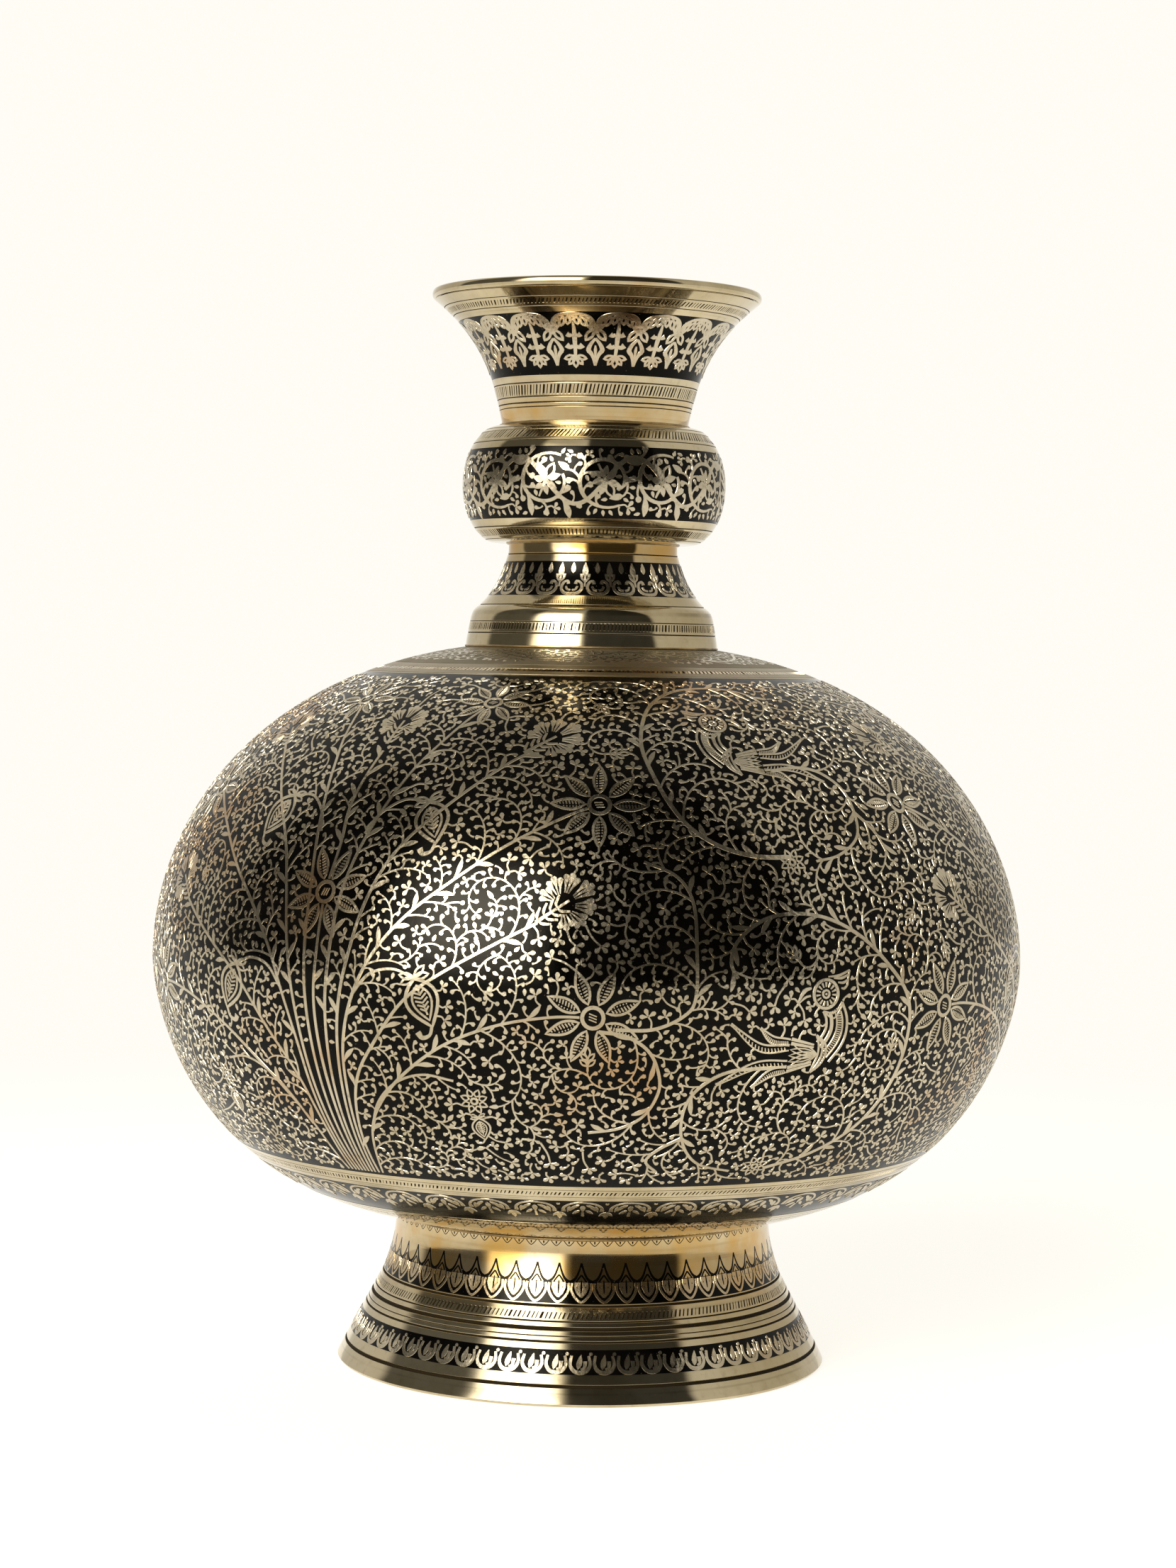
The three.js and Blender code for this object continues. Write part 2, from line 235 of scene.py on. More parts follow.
def lathe(name, rows, material, replaces=(), tarnish_and_shade=None, amber=None, wobble=None):
    """A closed turned solid; rows are its outline, (radius, height), in order all the way round."""
    rows = np.asarray(rows, float)
    count = len(rows)
    turn = np.arange(SEGMENTS) * 2 * math.pi / SEGMENTS
    r = np.repeat(rows[:, :1], SEGMENTS, 1)
    z = np.repeat(rows[:, 1:], SEGMENTS, 1)
    if wobble is not None:
        r, z = wobble(r, z, turn)
    vertices = np.stack([r * np.sin(turn), -r * np.cos(turn), z], -1).reshape(-1, 3) * MM
    i, j = np.meshgrid(np.arange(count), np.arange(SEGMENTS), indexing="ij")
    i2, j2 = (i + 1) % count, (j + 1) % SEGMENTS
    quads = np.stack([i * SEGMENTS + j, i * SEGMENTS + j2, i2 * SEGMENTS + j2, i2 * SEGMENTS + j], -1)
    on_axis = rows[:, 0] < 1e-6
    keep = ~(on_axis[i] & on_axis[i2])
    quads = quads[keep].reshape(-1, 4)
    values = {
        "tarnish_and_shade": np.repeat(np.zeros(count) if tarnish_and_shade is None else tarnish_and_shade, SEGMENTS),
        "amber": np.repeat(np.zeros(count) if amber is None else amber, SEGMENTS),
    }
    thing = mesh_object(name, vertices, quads.ravel(), np.arange(len(quads)) * 4, values, True)
    if on_axis.any():
        weld(thing.data)
    return finish_piece(thing, material, replaces)


def weld(mesh):
    """Joins the vertices that meet on the axis."""
    bm = bmesh.new()
    bm.from_mesh(mesh)
    bmesh.ops.remove_doubles(bm, verts=bm.verts, dist=1e-7)
    bm.to_mesh(mesh)
    bm.free()


def finish_piece(thing, material, replaces=()):
    thing.data.materials.append(material)
    if replaces:
        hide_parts(*replaces)
    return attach(thing, "root")


def groove(distance, width, depth, flat):
    """Depth at a distance from a groove's middle: flat across its floor, rounded up to its lips."""
    ramp = np.clip((1 - np.abs(distance) / (width / 2)) / (1 - flat), 0, 1)
    return depth * ramp * ramp * (3 - 2 * ramp)


def cut_rows(wall, low, high, cuts, recesses=(), step=1.0):
    """Outline rows up a wall with its turned lines and lacquer recesses cut in, and how dark each row is."""
    start, end = wall.reach(low), wall.reach(high)
    marks = [np.arange(start, end, step), [end]]
    across = np.array([-1.1, -1, -0.75, -0.5, -0.25, 0, 0.25, 0.5, 0.75, 1, 1.1])
    for z, width, _, _ in cuts:
        marks.append(wall.reach(z) + width / 2 * across)
    for edges in recesses:
        for edge in wall.reach(np.array(edges)):
            marks.append([edge - 0.02, edge + 0.02])
    along = np.unique(np.clip(np.round(np.concatenate(marks), 3), start, end))
    along = along[np.concatenate([[True], np.diff(along) > 0.012])]
    depth = np.zeros(len(along))
    for z, width, deep, flat in cuts:
        depth = np.maximum(depth, groove(along - wall.reach(z), width, deep, flat))
    dark = np.clip(depth / 0.12, 0, 1)
    for low_edge, high_edge in recesses:
        inside = (along > wall.reach(low_edge)) & (along < wall.reach(high_edge))
        depth = np.where(inside, RECESS_DEPTH, depth)
        dark = np.where(inside, 1, dark)
    return wall.section(along, -depth), dark


def amber_tint(heights, place):
    """How much of the amber tint left by soldering shows at each height."""
    if place is None:
        return np.zeros(len(heights))
    middle, spread = HEAT_TINTS[place]
    return np.exp(-((heights - middle) / spread) ** 2)


# ---- engraved line work ----------------------------------------------------------------------


class Relief:
    """Raised brass line work on a wall: flat ribbons with bevelled sides, gathered into one mesh.

    A path is an array of (azimuth, distance along the wall).
    """

    def __init__(self, wall, lift=RELIEF, sink=LACQUER_SINK + 0.05, bevel=BEVEL):
        self.wall = wall
        self.lift, self.sink, self.bevel = lift, sink, bevel
        self.strokes = []

    def ribbon(self, path, width, closed=False):
        path = np.asarray(path, float)
        self.strokes.append((path, np.broadcast_to(np.asarray(width, float), len(path)), closed))

    def sections(self, path, width, closed):
        """Four points across each section of a ribbon: foot, top, top, foot."""
        scale = np.radians(self.wall.radius_at(path[:, 1]))
        if closed:
            ahead = np.roll(path, -1, 0) - np.roll(path, 1, 0)
        else:
            ahead = np.gradient(path, axis=0) if len(path) > 2 else np.repeat(path[1:] - path[:-1], 2, 0)
        ahead = ahead * np.stack([scale, np.ones(len(scale))], 1)
        length = np.maximum(np.hypot(*ahead.T), 1e-9)
        side = np.stack([-ahead[:, 1], ahead[:, 0]], 1) / length[:, None]
        half = width[:, None] / 2
        rows = []
        for reach, lift in ((half + self.bevel, -self.sink), (half, self.lift), (-half, self.lift),
                            (-half - self.bevel, -self.sink)):
            azimuth = path[:, 0] + side[:, 0] * reach[:, 0] / scale
            along = path[:, 1] + side[:, 1] * reach[:, 0]
            rows.append(self.wall.points(azimuth, along, lift))
        return np.stack(rows, 1)

    def build(self, name, material, slot="engraved_brass", turns=(0.0,), top_wear_and_shade=0.0, heat=None):
        """One mesh holding every stroke, repeated at each turn about the axis.

        Painted shade darkens the foot of every line; the tops can be made darker and duller, partly as wear
        and partly as painted shade.
        """
        vertices, quads, base = [], [], 0
        for turn in turns:
            for path, width, closed in self.strokes:
                block = self.sections(path + (turn, 0.0), width, closed)
                n = len(block)
                vertices.append(block.reshape(-1, 3))
                first = np.arange(n if closed else n - 1) * 4
                after = (first + 4) % (4 * n)
                for k in range(3):
                    quads.append(base + np.stack([first + k, first + k + 1, after + k + 1, after + k], 1))
                if not closed:
                    last = 4 * (n - 1)
                    quads.append(base + np.array([[3, 2, 1, 0], [last, last + 1, last + 2, last + 3]]))
                base += 4 * n
        vertices, quads = np.vstack(vertices), np.vstack(quads)
        # painted shade at the foot of each line; the tops darkened by the given share, partly as wear and
        # partly as painted shade
        tarnish_and_shade = np.tile([LINE_FOOT_SHADE, top_wear_and_shade, top_wear_and_shade, LINE_FOOT_SHADE], len(vertices) // 4)
        thing = mesh_object(name, vertices, quads.ravel(), np.arange(len(quads)) * 4,
                            {"tarnish_and_shade": tarnish_and_shade, "amber": amber_tint(vertices[:, 2] / MM, heat)}, False)
        return finish_piece(thing, material, ())


def compass(heading):
    """Unit steps ahead and to the right; a heading runs clockwise from straight up."""
    turn = math.radians(heading)
    return np.array([math.sin(turn), math.cos(turn)]), np.array([math.cos(turn), -math.sin(turn)])


class Pen:
    """Draws on a relief in millimetres about one point; +y is the way it points, +x to its right."""

    def __init__(self, relief, azimuth, along, turn=0.0, scale=1.0, flip=1):
        self.relief, self.azimuth, self.along = relief, azimuth, along
        self.turn, self.scale, self.flip = math.radians(turn), scale, flip

    def chart(self, points):
        x, y = np.asarray(points, float).T * self.scale
        x = x * self.flip
        right = x * math.cos(self.turn) + y * math.sin(self.turn)
        up = y * math.cos(self.turn) - x * math.sin(self.turn)
        along = self.along + up
        azimuth = self.azimuth + np.degrees(right / self.relief.wall.radius_at(along))
        return np.stack([azimuth, along], 1)

    def stroke(self, points, width, closed=False):
        self.relief.ribbon(self.chart(points), np.asarray(width, float) * max(self.scale, 0.7), closed)

    def curve(self, points, width, per_span=4):
        line = smooth_through(points, per_span)
        if np.ndim(width):
            width = np.interp(np.linspace(0, 1, len(line)), np.linspace(0, 1, len(width)), width)
        self.stroke(line, width)

    def leaf(self, base, heading, length, breadth):
        """A solid pointed leaf."""
        t = np.linspace(0, 1, 6)
        ahead, _ = compass(heading)
        line = np.asarray(base) + np.outer(t * length, ahead)
        self.stroke(line, 0.15 + breadth * np.sin(np.pi * t ** 0.75))

    def loop(self, base, heading, length, breadth, line=0.45, blunt=1.0, count=7):
        """A hollow leaf: only its outline stands in brass."""
        t = np.linspace(0, 1, count)
        half = breadth / 2 * np.sin(np.pi * t ** blunt)
        ahead, aside = compass(heading)
        out = np.outer(t * length, ahead) + np.outer(half, aside)
        back = (np.outer(t * length, ahead) - np.outer(half, aside))[-2:0:-1]
        self.stroke(np.asarray(base) + np.vstack([out, back]), line, True)

    def dot(self, centre, size):
        """A squarish blob, as a punch leaves it."""
        x, y = centre
        self.stroke([(x, y - size / 2), (x, y - size / 5), (x, y + size / 5), (x, y + size / 2)],
                    [size * 0.5, size, size, size * 0.45])

    def ring(self, centre, radius, line, count=14):
        turn = np.arange(count) * 2 * math.pi / count
        self.stroke(np.asarray(centre) + radius * np.stack([np.sin(turn), np.cos(turn)], 1), line, True)


# ---- small motifs ----------------------------------------------------------------------------


def trefoil(pen, base, heading, size=2.0):
    """Three blunt leaves on a point."""
    reach = np.array([0.1, 0.45, 0.75, 1.0, 1.12]) * size
    for spread in (-72, 0, 72):
        ahead, _ = compass(heading + spread + RNG.uniform(-10, 10))
        line = np.asarray(base) + np.outer(reach, ahead)
        pen.stroke(line, np.array([0.14, 0.36, 0.62, 0.44, 0.14]) * size)


def hook(pen, base, heading, side, length=3.0):
    """A short stalk that curls over and ends in a blob."""
    ahead, aside = compass(heading)
    t = np.array([0, 0.3, 0.55, 0.76, 0.92, 1.05])
    bend = np.array([0, 0.02, 0.1, 0.24, 0.42, 0.62])
    line = np.asarray(base) + length * (np.outer(t * (1 - 0.22 * t), ahead) + np.outer(bend, side * aside))
    pen.stroke(line, [0.52, 0.36, 0.36, 0.66, 1.22, 0.75])


def acanthus(pen, base, heading, side, length=5.0):
    """A heavy comma that swells and tapers along a main stem."""
    ahead, aside = compass(heading)
    t = np.linspace(0, 1, 7)
    line = np.asarray(base) + length * (np.outer(t, ahead) + np.outer(0.28 * t ** 2, side * aside))
    pen.stroke(line, [0.3, 0.5, 0.9, 1.25, 1.3, 0.9, 0.25])


def spray(pen, base, heading, size=8.0):
    """A little branch of hollow leaves, one at the tip and two pairs below."""
    base = np.asarray(base)
    ahead, _ = compass(heading)
    pen.stroke(base + np.outer(np.linspace(0, 0.62, 4) * size, ahead), [0.6, 0.5, 0.45, 0.4])
    pen.loop(base + 0.55 * size * ahead, heading, 0.47 * size, 0.2 * size)
    for share, spread in ((0.22, 48), (0.45, 42)):
        for side in (-1, 1):
            pen.loop(base + share * size * ahead, heading + side * spread, 0.4 * size, 0.17 * size)


def star_flower(pen, radius=12.6, root=3.7):
    """Eight hollow petals with a comb of ticks in each, round a hatched button."""
    pen.ring((0, 0), 2.7, 1.0, 20)
    for x in (-0.75, 0, 0.75):
        pen.stroke([(x - 0.35, -1.0), (x + 0.35, 1.0)], 0.3)
    for k in range(8):
        heading = 22.5 + 45 * k
        ahead, aside = compass(heading)
        pen.loop(root * ahead, heading, radius - root, 3.2, 0.66, 0.85, 10)
        for t in np.linspace(0.16, 0.8, 8):
            reach = 1.05 * math.sin(math.pi * t ** 0.85)
            at = (root + t * (radius - root)) * ahead
            pen.stroke([at - 0.15 * aside, at + reach * aside + 0.3 * ahead], [0.3, 0.42])
            if t < 0.7:
                pen.stroke([at - 0.95 * reach * aside, at - 0.55 * reach * aside], 0.3)


def carnation(pen):
    """Fishbone leaves up a stalk, then a fan of comb-cut petals."""
    pen.stroke([(0, -7), (0, -2), (0, 3.2)], [1.0, 0.7, 0.6])
    for y in (-6.2, -4.2, -2.2, -0.4):
        for side in (-1, 1):
            pen.curve([(side * 0.3, y), (side * 1.3, y + 0.5), (side * 2.6, y + 2.3)], [0.35, 0.75, 0.55])
    petals = ((-112, 6.2), (-74, 7.4), (-37, 8.4), (0, 9.2), (37, 8.4), (74, 7.4), (112, 6.2))
    for heading, distance in petals:
        ahead, aside = compass(heading)
        for x in (-1, 0, 1):
            root = (0, 1.0) + ahead * distance * 0.4 + x * 0.45 * aside
            rim = (0, 1.0) + ahead * (distance - 0.8 * abs(x)) + x * 1.5 * aside
            pen.stroke([root, root * 0.5 + rim * 0.5, root * 0.25 + rim * 0.75, rim, rim + 0.45 * ahead],
                       [0.2, 0.5, 1.15, 1.62, 0.8])


def pod(pen):
    """A hanging fruit: leafy cap, double outline and a fishbone inside; its tail curls away."""
    for heading in (-118, -84, 84, 118):
        pen.loop((0, -0.3), heading, 3.1, 1.2, 0.4)
    pen.loop((0, 0), 0, 9.6, 6.6, 0.62, 0.8, 12)
    pen.loop((0, 1.3), 0, 7.0, 3.9, 0.42, 0.8, 10)
    pen.stroke([(0, 1.5), (0, 7.2)], [0.4, 0.3])
    for y in np.linspace(2.3, 6.4, 6):
        reach = 1.35 * math.sin(math.pi * (y - 0.8) / 7.4)
        for side in (-1, 1):
            pen.stroke([(0, y), (side * reach, y - 0.75)], 0.34)
    pen.curve([(0, 9.4), (1.2, 10.9), (2.9, 10.9), (3.3, 9.6)], [0.6, 0.6, 0.9, 1.2])


def daisy(pen, petals=8, radius=3.7):
    """Small hollow petals round a ring."""
    pen.ring((0, 0), 0.85, 0.6, 10)
    for k in range(petals):
        heading = 360 / petals * (k + 0.5)
        ahead, _ = compass(heading)
        pen.loop(1.5 * ahead, heading, radius - 1.5, 1.45, 0.42, 0.7, 6)


def bird(pen):
    """A crested bird looking to its left, tail sweeping left; the origin is the middle of its head."""
    bird_head(pen)
    bird_body(pen)
    bird_tail(pen)


def bird_head(pen):
    """A rayed eye in a round head, with a beak and a comb."""
    pen.ring((0, 0), 3.7, 0.75, 26)
    pen.ring((0, 0), 1.0, 0.55, 10)
    pen.dot((0, 0), 0.6)
    for k in range(15):
        ahead, _ = compass(360 * k / 15)
        pen.stroke([1.8 * ahead, 3.1 * ahead], [0.3, 0.55])
    pen.curve([(-4.5, 1.7), (-6.6, 0.9), (-8.4, -2.0)], [0.6, 1.1, 0.3])
    pen.curve([(-4.7, -0.3), (-6.3, -0.7), (-8.2, -2.2)], [0.5, 0.6, 0.3])
    crest = ((0.6, 4.4, 7.4, 5.9), (2.3, 4.0, 7.3, 4.9), (3.6, 2.9, 7.0, 3.6), (4.6, 1.4, 6.6, 2.1))
    for x, y, end_x, end_y in crest:
        pen.curve([(x, y), ((x + end_x) / 2, (y + end_y) / 2 - 0.5), (end_x, end_y)], [0.35, 0.7, 0.5])
    pen.curve([(7.4, 5.9), (6.9, 3.8), (6.6, 2.0)], [0.5, 0.45, 0.5])


def bird_body(pen):
    """A barred breast between two outlines, and a necklace."""
    back = smooth_through([(5.1, -2.2), (6.9, -6.4), (7.1, -10.6), (5.9, -14.2), (3.0, -18.2)], 6)
    belly = smooth_through([(-0.7, -4.4), (0.4, -6.4), (0.6, -9.0), (-0.4, -11.2), (-1.6, -12.6)], 6)
    pen.stroke(back, 0.62)
    pen.stroke(belly, 0.62)
    for share, width in ((0.25, 0.95), (0.5, 0.32), (0.78, 0.36)):
        pen.stroke((belly * (1 - share) + back * share)[3:], width)
    for k in range(4, len(back) - 1):
        pen.stroke([belly[k] * 0.47 + back[k] * 0.53, belly[k] * 0.26 + back[k] * 0.74], 0.28)
    for share in (0.0, 0.16):
        pen.curve([belly[0] * (1 - share) + belly[5] * share, (2.9, -4.9 - 9 * share),
                   back[0] * (1 - share) + back[5] * share], 0.4)
    for t in np.linspace(0.08, 0.92, 9):
        at = np.array([-0.7 + 5.8 * t, -4.4 + 2.2 * t - 2.0 * math.sin(math.pi * t) * 0.55])
        pen.stroke([at, at + (0.3, -0.9)], 0.34)


def bird_tail(pen):
    """A wing band with dots and hollow leaves, then four long feathers."""
    for bulge in (0.0, 1.0, 2.0):
        pen.curve([(-2.0, -10.6), (1.0 - bulge, -13.0), (1.6 - bulge * 1.2, -16.0), (0.4 - bulge, -18.8),
                   (-2.2, -20.9)], 0.5)
    for t in np.linspace(0.04, 0.96, 13):
        pen.dot((1.1 - 9 * (t - 0.5) ** 2, -11.2 - 9.2 * t), 0.45)
    for heading in (-68, -79, -90, -101, -112):
        pen.loop((-0.9, -15.9), heading, 8.6, 1.8, 0.32)
    for y in (-11.4, -12.6, -19.2, -20.3):
        pen.stroke([(-2.4, y * 0.6 - 6.4), (-9.3, y)], [0.5, 0.9])
    tails = (((-9.6, -12.2), (-14.5, -11.6), (-18.6, -8.2)), ((-9.7, -13.8), (-18.0, -13.4), (-26.8, -7.0)),
             ((-9.6, -18.0), (-19.0, -18.6), (-28.2, -23.6)), ((-9.4, -19.8), (-14.0, -20.8), (-18.4, -24.6)))
    for points in tails:
        feather(pen, smooth_through(points, 9))


def feather(pen, spine, width=2.1):
    """Two edges joined by slanting ticks."""
    step = np.gradient(spine, axis=0)
    aside = np.stack([-step[:, 1], step[:, 0]], 1) / np.hypot(*step.T)[:, None]
    taper = np.sin(np.pi * np.clip(np.linspace(0.22, 1.0, len(spine)), 0, 0.93))[:, None]
    pen.stroke(spine + aside * taper * width / 2, 0.36)
    pen.stroke(spine - aside * taper * width / 2, 0.48)
    for k in range(1, len(spine) - 1):
        reach = aside[k] * taper[k] * width
        pen.stroke([spine[k] + reach * 0.42, spine[k] - reach * 0.12 + step[k] * 0.5], 0.26)


# ---- a patterned field that knows where it is still empty --------------------------------------


class Field(Relief):
    """Line work over one repeat of a wall, with a map of the clear distance round every spot."""

    REACH = 14.0  # beyond this a spot counts as simply clear

    def __init__(self, wall, low, high, sector, across=0.25, up=0.55, **kwargs):
        super().__init__(wall, **kwargs)
        self.low, self.high, self.sector = wall.reach(low), wall.reach(high), sector
        self.across, self.up = across, up
        self.columns = int(round(sector / across))
        self.across = sector / self.columns
        rows = np.arange(self.low, self.high, up)
        self.clear = np.minimum(rows - self.low, self.high - rows)[:, None] * np.ones((1, self.columns))
        self.clear = np.minimum(self.clear, self.REACH)
        self.parents = []
        self.scale = 1.0  # of the small marks

    def ribbon(self, path, width, closed=False):
        super().ribbon(path, width, closed)
        path, width, _ = self.strokes[-1]
        self.mark(path, width)

    def gaps(self, path):
        """The length of each step of a path."""
        scale = np.radians(self.wall.radius_at(path[:-1, 1]))
        return np.hypot(np.diff(path[:, 0]) * scale, np.diff(path[:, 1]))

    def stride(self, path, spacing):
        """How many steps of a path come nearest to a spacing."""
        return max(1, int(round(spacing / max(self.gaps(path).mean(), 0.1))))

    def mark(self, path, width):
        """Lowers the clear distance round a path."""
        at = np.concatenate([[0.0], np.cumsum(self.gaps(path))])
        if at[-1] <= 0:
            return
        spots = np.arange(0, at[-1] + 0.5, 0.6)
        azimuths = np.interp(spots, at, path[:, 0])
        alongs = np.interp(spots, at, path[:, 1])
        halves = np.interp(spots, at, width) / 2
        for azimuth, along, half in zip(azimuths, alongs, halves):
            self.mark_spot(azimuth, along, half)

    def mark_spot(self, azimuth, along, half):
        row = (along - self.low) / self.up
        span = int(self.REACH / self.up) + 1
        r0, r1 = max(0, int(row) - span), min(len(self.clear), int(row) + span + 2)
        if r0 >= r1:
            return
        scale = math.radians(float(self.wall.radius_at(along))) * self.across
        column = azimuth / self.across
        wide = min(int(self.REACH / scale) + 1, self.columns // 2 - 1)
        columns = np.arange(int(column) - wide, int(column) + wide + 2)
        dx = (columns - column) * scale
        dy = (np.arange(r0, r1) - row) * self.up
        distance = np.sqrt(dx[None, :] ** 2 + dy[:, None] ** 2) - half
        index = np.ix_(np.arange(r0, r1), columns % self.columns)
        self.clear[index] = np.minimum(self.clear[index], distance)

    def room(self, azimuth, along):
        """The clear distance at a spot, or -1 off the band."""
        row = int(round((along - self.low) / self.up))
        if not 0 <= row < len(self.clear):
            return -1.0
        return self.clear[row, int(round(azimuth / self.across)) % self.columns]

    def grow_from(self, path):
        """Tendrils may later spring from this path."""
        self.parents.append(path)

    def route(self, points, step=1.1):
        """A smooth even path through (azimuth, height) points."""
        p = np.array([(a, self.wall.reach(z)) for a, z in points], float)
        scale = np.radians(self.wall.radius_at(p[:, 1]).mean())
        line = smooth_through(p * (scale, 1), 14) / (scale, 1)
        at = np.concatenate([[0.0], np.cumsum(self.gaps(line))])
        even = np.linspace(0, at[-1], max(3, int(at[-1] / step)))
        return np.stack([np.interp(even, at, line[:, 0]), np.interp(even, at, line[:, 1])], 1)

    def stem(self, points, root, tip, middle=None, skip=0, stop=0):
        """A main stem; skip and stop leave out its first and last steps, inside a flower's ring."""
        path = self.route(points)
        path = path[skip:len(path) - stop]
        middle = (root + tip) / 2 if middle is None else middle
        self.ribbon(path, np.interp(np.linspace(0, 1, len(path)), [0, 0.4, 1], [root, middle, tip]))
        self.grow_from(path)
        return path

    def heading(self, path, k):
        """Which way a path runs at a point, clockwise from straight up."""
        a, b = path[max(k - 1, 0)], path[min(k + 1, len(path) - 1)]
        right = math.radians(b[0] - a[0]) * float(self.wall.radius_at(a[1]))
        return math.degrees(math.atan2(right, b[1] - a[1]))

    def dress(self, path, spacing, length, start=3, heavy=0.0, room=1.0):
        """Side hooks along a stem, left and right in turn, wherever there is room."""
        side = RNG.choice((-1, 1))
        for k in range(start, len(path) - 2, self.stride(path, spacing)):
            side = -side
            heading = self.heading(path, k)
            size = length * RNG.uniform(0.85, 1.15)
            pen = Pen(self, path[k][0], path[k][1], heading, self.scale)
            tip = pen.chart([(side * size * 0.85, size * 0.75)])[0]
            if self.room(*tip) < room:
                continue
            if RNG.random() < heavy:
                acanthus(pen, (side * 0.2, 0), side * 20, side, size * 1.7)
            else:
                hook(pen, (side * 0.15, 0), side * 40, side, size)

    def step_from(self, azimuth, along, heading, distance):
        """Where a step of some distance on a heading leads."""
        turn = math.radians(heading)
        right = distance * math.sin(turn) / float(self.wall.radius_at(along))
        return azimuth + math.degrees(right), along + distance * math.cos(turn)

    def tendril(self, azimuth, along, heading, bend, length, room=0.95):
        """Steps forward while there is room, curling tighter as it goes. None if it can't get away."""
        spots, step = [(azimuth, along)], 0.9
        count = int(length / step)
        for k in range(count):
            heading += bend * step * (0.5 + 1.3 * k / count)
            ahead = self.step_from(azimuth, along, heading, step)
            look = self.step_from(azimuth, along, heading, 3.3 if k < 3 else 1.7)
            if self.room(*look) < (room + 0.3 if k < 3 else room):
                break
            azimuth, along = ahead
            spots.append(ahead)
        return np.array(spots) if len(spots) >= 5 else None

    def branch(self, spacing, lengths, bends, hooks, chance=0.36, room=0.95):
        """One generation of tendrils, sprung from every path of the last one."""
        parents, self.parents = self.parents, []
        for path in parents:
            every = self.stride(path, spacing)
            for k in range(every // 2 + 1, len(path) - 1, every):
                for side in (-1, 1):
                    heading = self.heading(path, k) + side * RNG.uniform(24, 42)
                    bend = side * RNG.uniform(*bends)
                    line = self.tendril(*path[k], heading, bend, RNG.uniform(*lengths), room)
                    if line is None:
                        line = self.tendril(*path[k], heading, -bend, RNG.uniform(*lengths), room)
                    if line is None:
                        continue
                    self.ribbon(line, np.linspace(0.50, 0.34, len(line)) * self.scale)
                    self.finish_tip(line, chance)
                    self.dress(line, 2.2 * self.scale, hooks, 2, 0.0, 0.5)
                    self.grow_from(line)

    def finish_tip(self, line, chance):
        """Ends a tendril in a trefoil, a hollow spray or a blob, whichever fits."""
        heading = self.heading(line, len(line) - 1)
        room = self.room(*self.step_from(*line[-1], heading, 1.9))
        pen = Pen(self, *line[-1], heading, self.scale)
        if room > 1.6 and RNG.random() < chance:
            spray(pen, (0, -0.5), 0, 6.5)
        elif room > 0.9 and RNG.random() < 0.6:
            trefoil(pen, (0, -0.2), 0, 1.7)
        elif room > 0.9:
            pen.leaf((0, -0.3), RNG.uniform(-30, 30), 2.6, 1.1)
        else:
            pen.dot((0, 0.3), 1.1)

    def fill(self, least, most=1600):
        """Puts a stalked trefoil, hook or leaf into the widest gap left, until gaps are below least."""
        spots = np.vstack([path for path, _, _ in self.strokes])
        for _ in range(most):
            spot = int(np.argmax(self.clear))
            row, column = divmod(spot, self.columns)
            radius = float(self.clear[row, column])
            if radius < least:
                break
            azimuth, along = column * self.across, self.low + row * self.up
            dx = (spots[:, 0] - azimuth + self.sector / 2) % self.sector - self.sector / 2
            dx = dx * math.radians(float(self.wall.radius_at(along)))
            dy = spots[:, 1] - along
            k = int(np.argmin(dx * dx + dy * dy))
            back = math.degrees(math.atan2(dx[k], dy[k]))
            pen = Pen(self, azimuth, along, back + 180)
            side = RNG.choice((-1, 1))
            if radius > 1.75:
                stalk = radius + 0.3
                pen.curve([(0, -stalk), (side * 0.5, -stalk * 0.5), (0, -0.35)], [0.5, 0.42, 0.42], 3)
                trefoil(pen, (0, -0.35), 0, min(radius, 2.5) * 0.8)
            elif radius > 1.3:
                hook(pen, (0, -radius), -side * 16, side, radius * 1.7)
            else:
                pen.leaf((0, -0.8), RNG.uniform(-20, 20), 1.8, 0.85)
            self.mark_spot(azimuth, along, min(radius * 0.5, 1.6))


# ---- the body's field: a bush of flowers and a panel of birds, three times round ---------------

SECTOR = 120.0
BUSH_AXIS = -34.5
BIRD_AXIS = 60.0  # from the bush's axis

# Stems on one side of the bush, (azimuth from the bush's axis, height); the other side mirrors them
BUSH_STEMS = {
    "low": [(3.2, 65.4), (5.0, 78), (8, 87), (12, 95), (17.5, 103), (24, 108.5), (30.5, 111)],
    "middle": [(2.5, 65.4), (3.1, 79), (4.8, 92), (8.5, 103.5), (12.5, 114), (17, 121), (24, 129.5),
               (28.5, 134.5)],
    "high": [(1.8, 65.4), (2.8, 86), (3.6, 101), (5.4, 114), (8, 125), (12, 135), (17, 143.5), (24, 153.5),
             (31.5, 161)],
    "upper": [(1.2, 65.4), (2.1, 86), (3.1, 107), (4.6, 124), (6.6, 140.5), (9.8, 153), (16, 165),
              (22, 173.5), (25.5, 177)],
    "top": [(0.6, 65.4), (1.1, 95), (1.8, 122), (2.6, 142), (4.8, 159), (7.5, 171.5), (10.2, 179),
            (12.6, 184.5)],
}
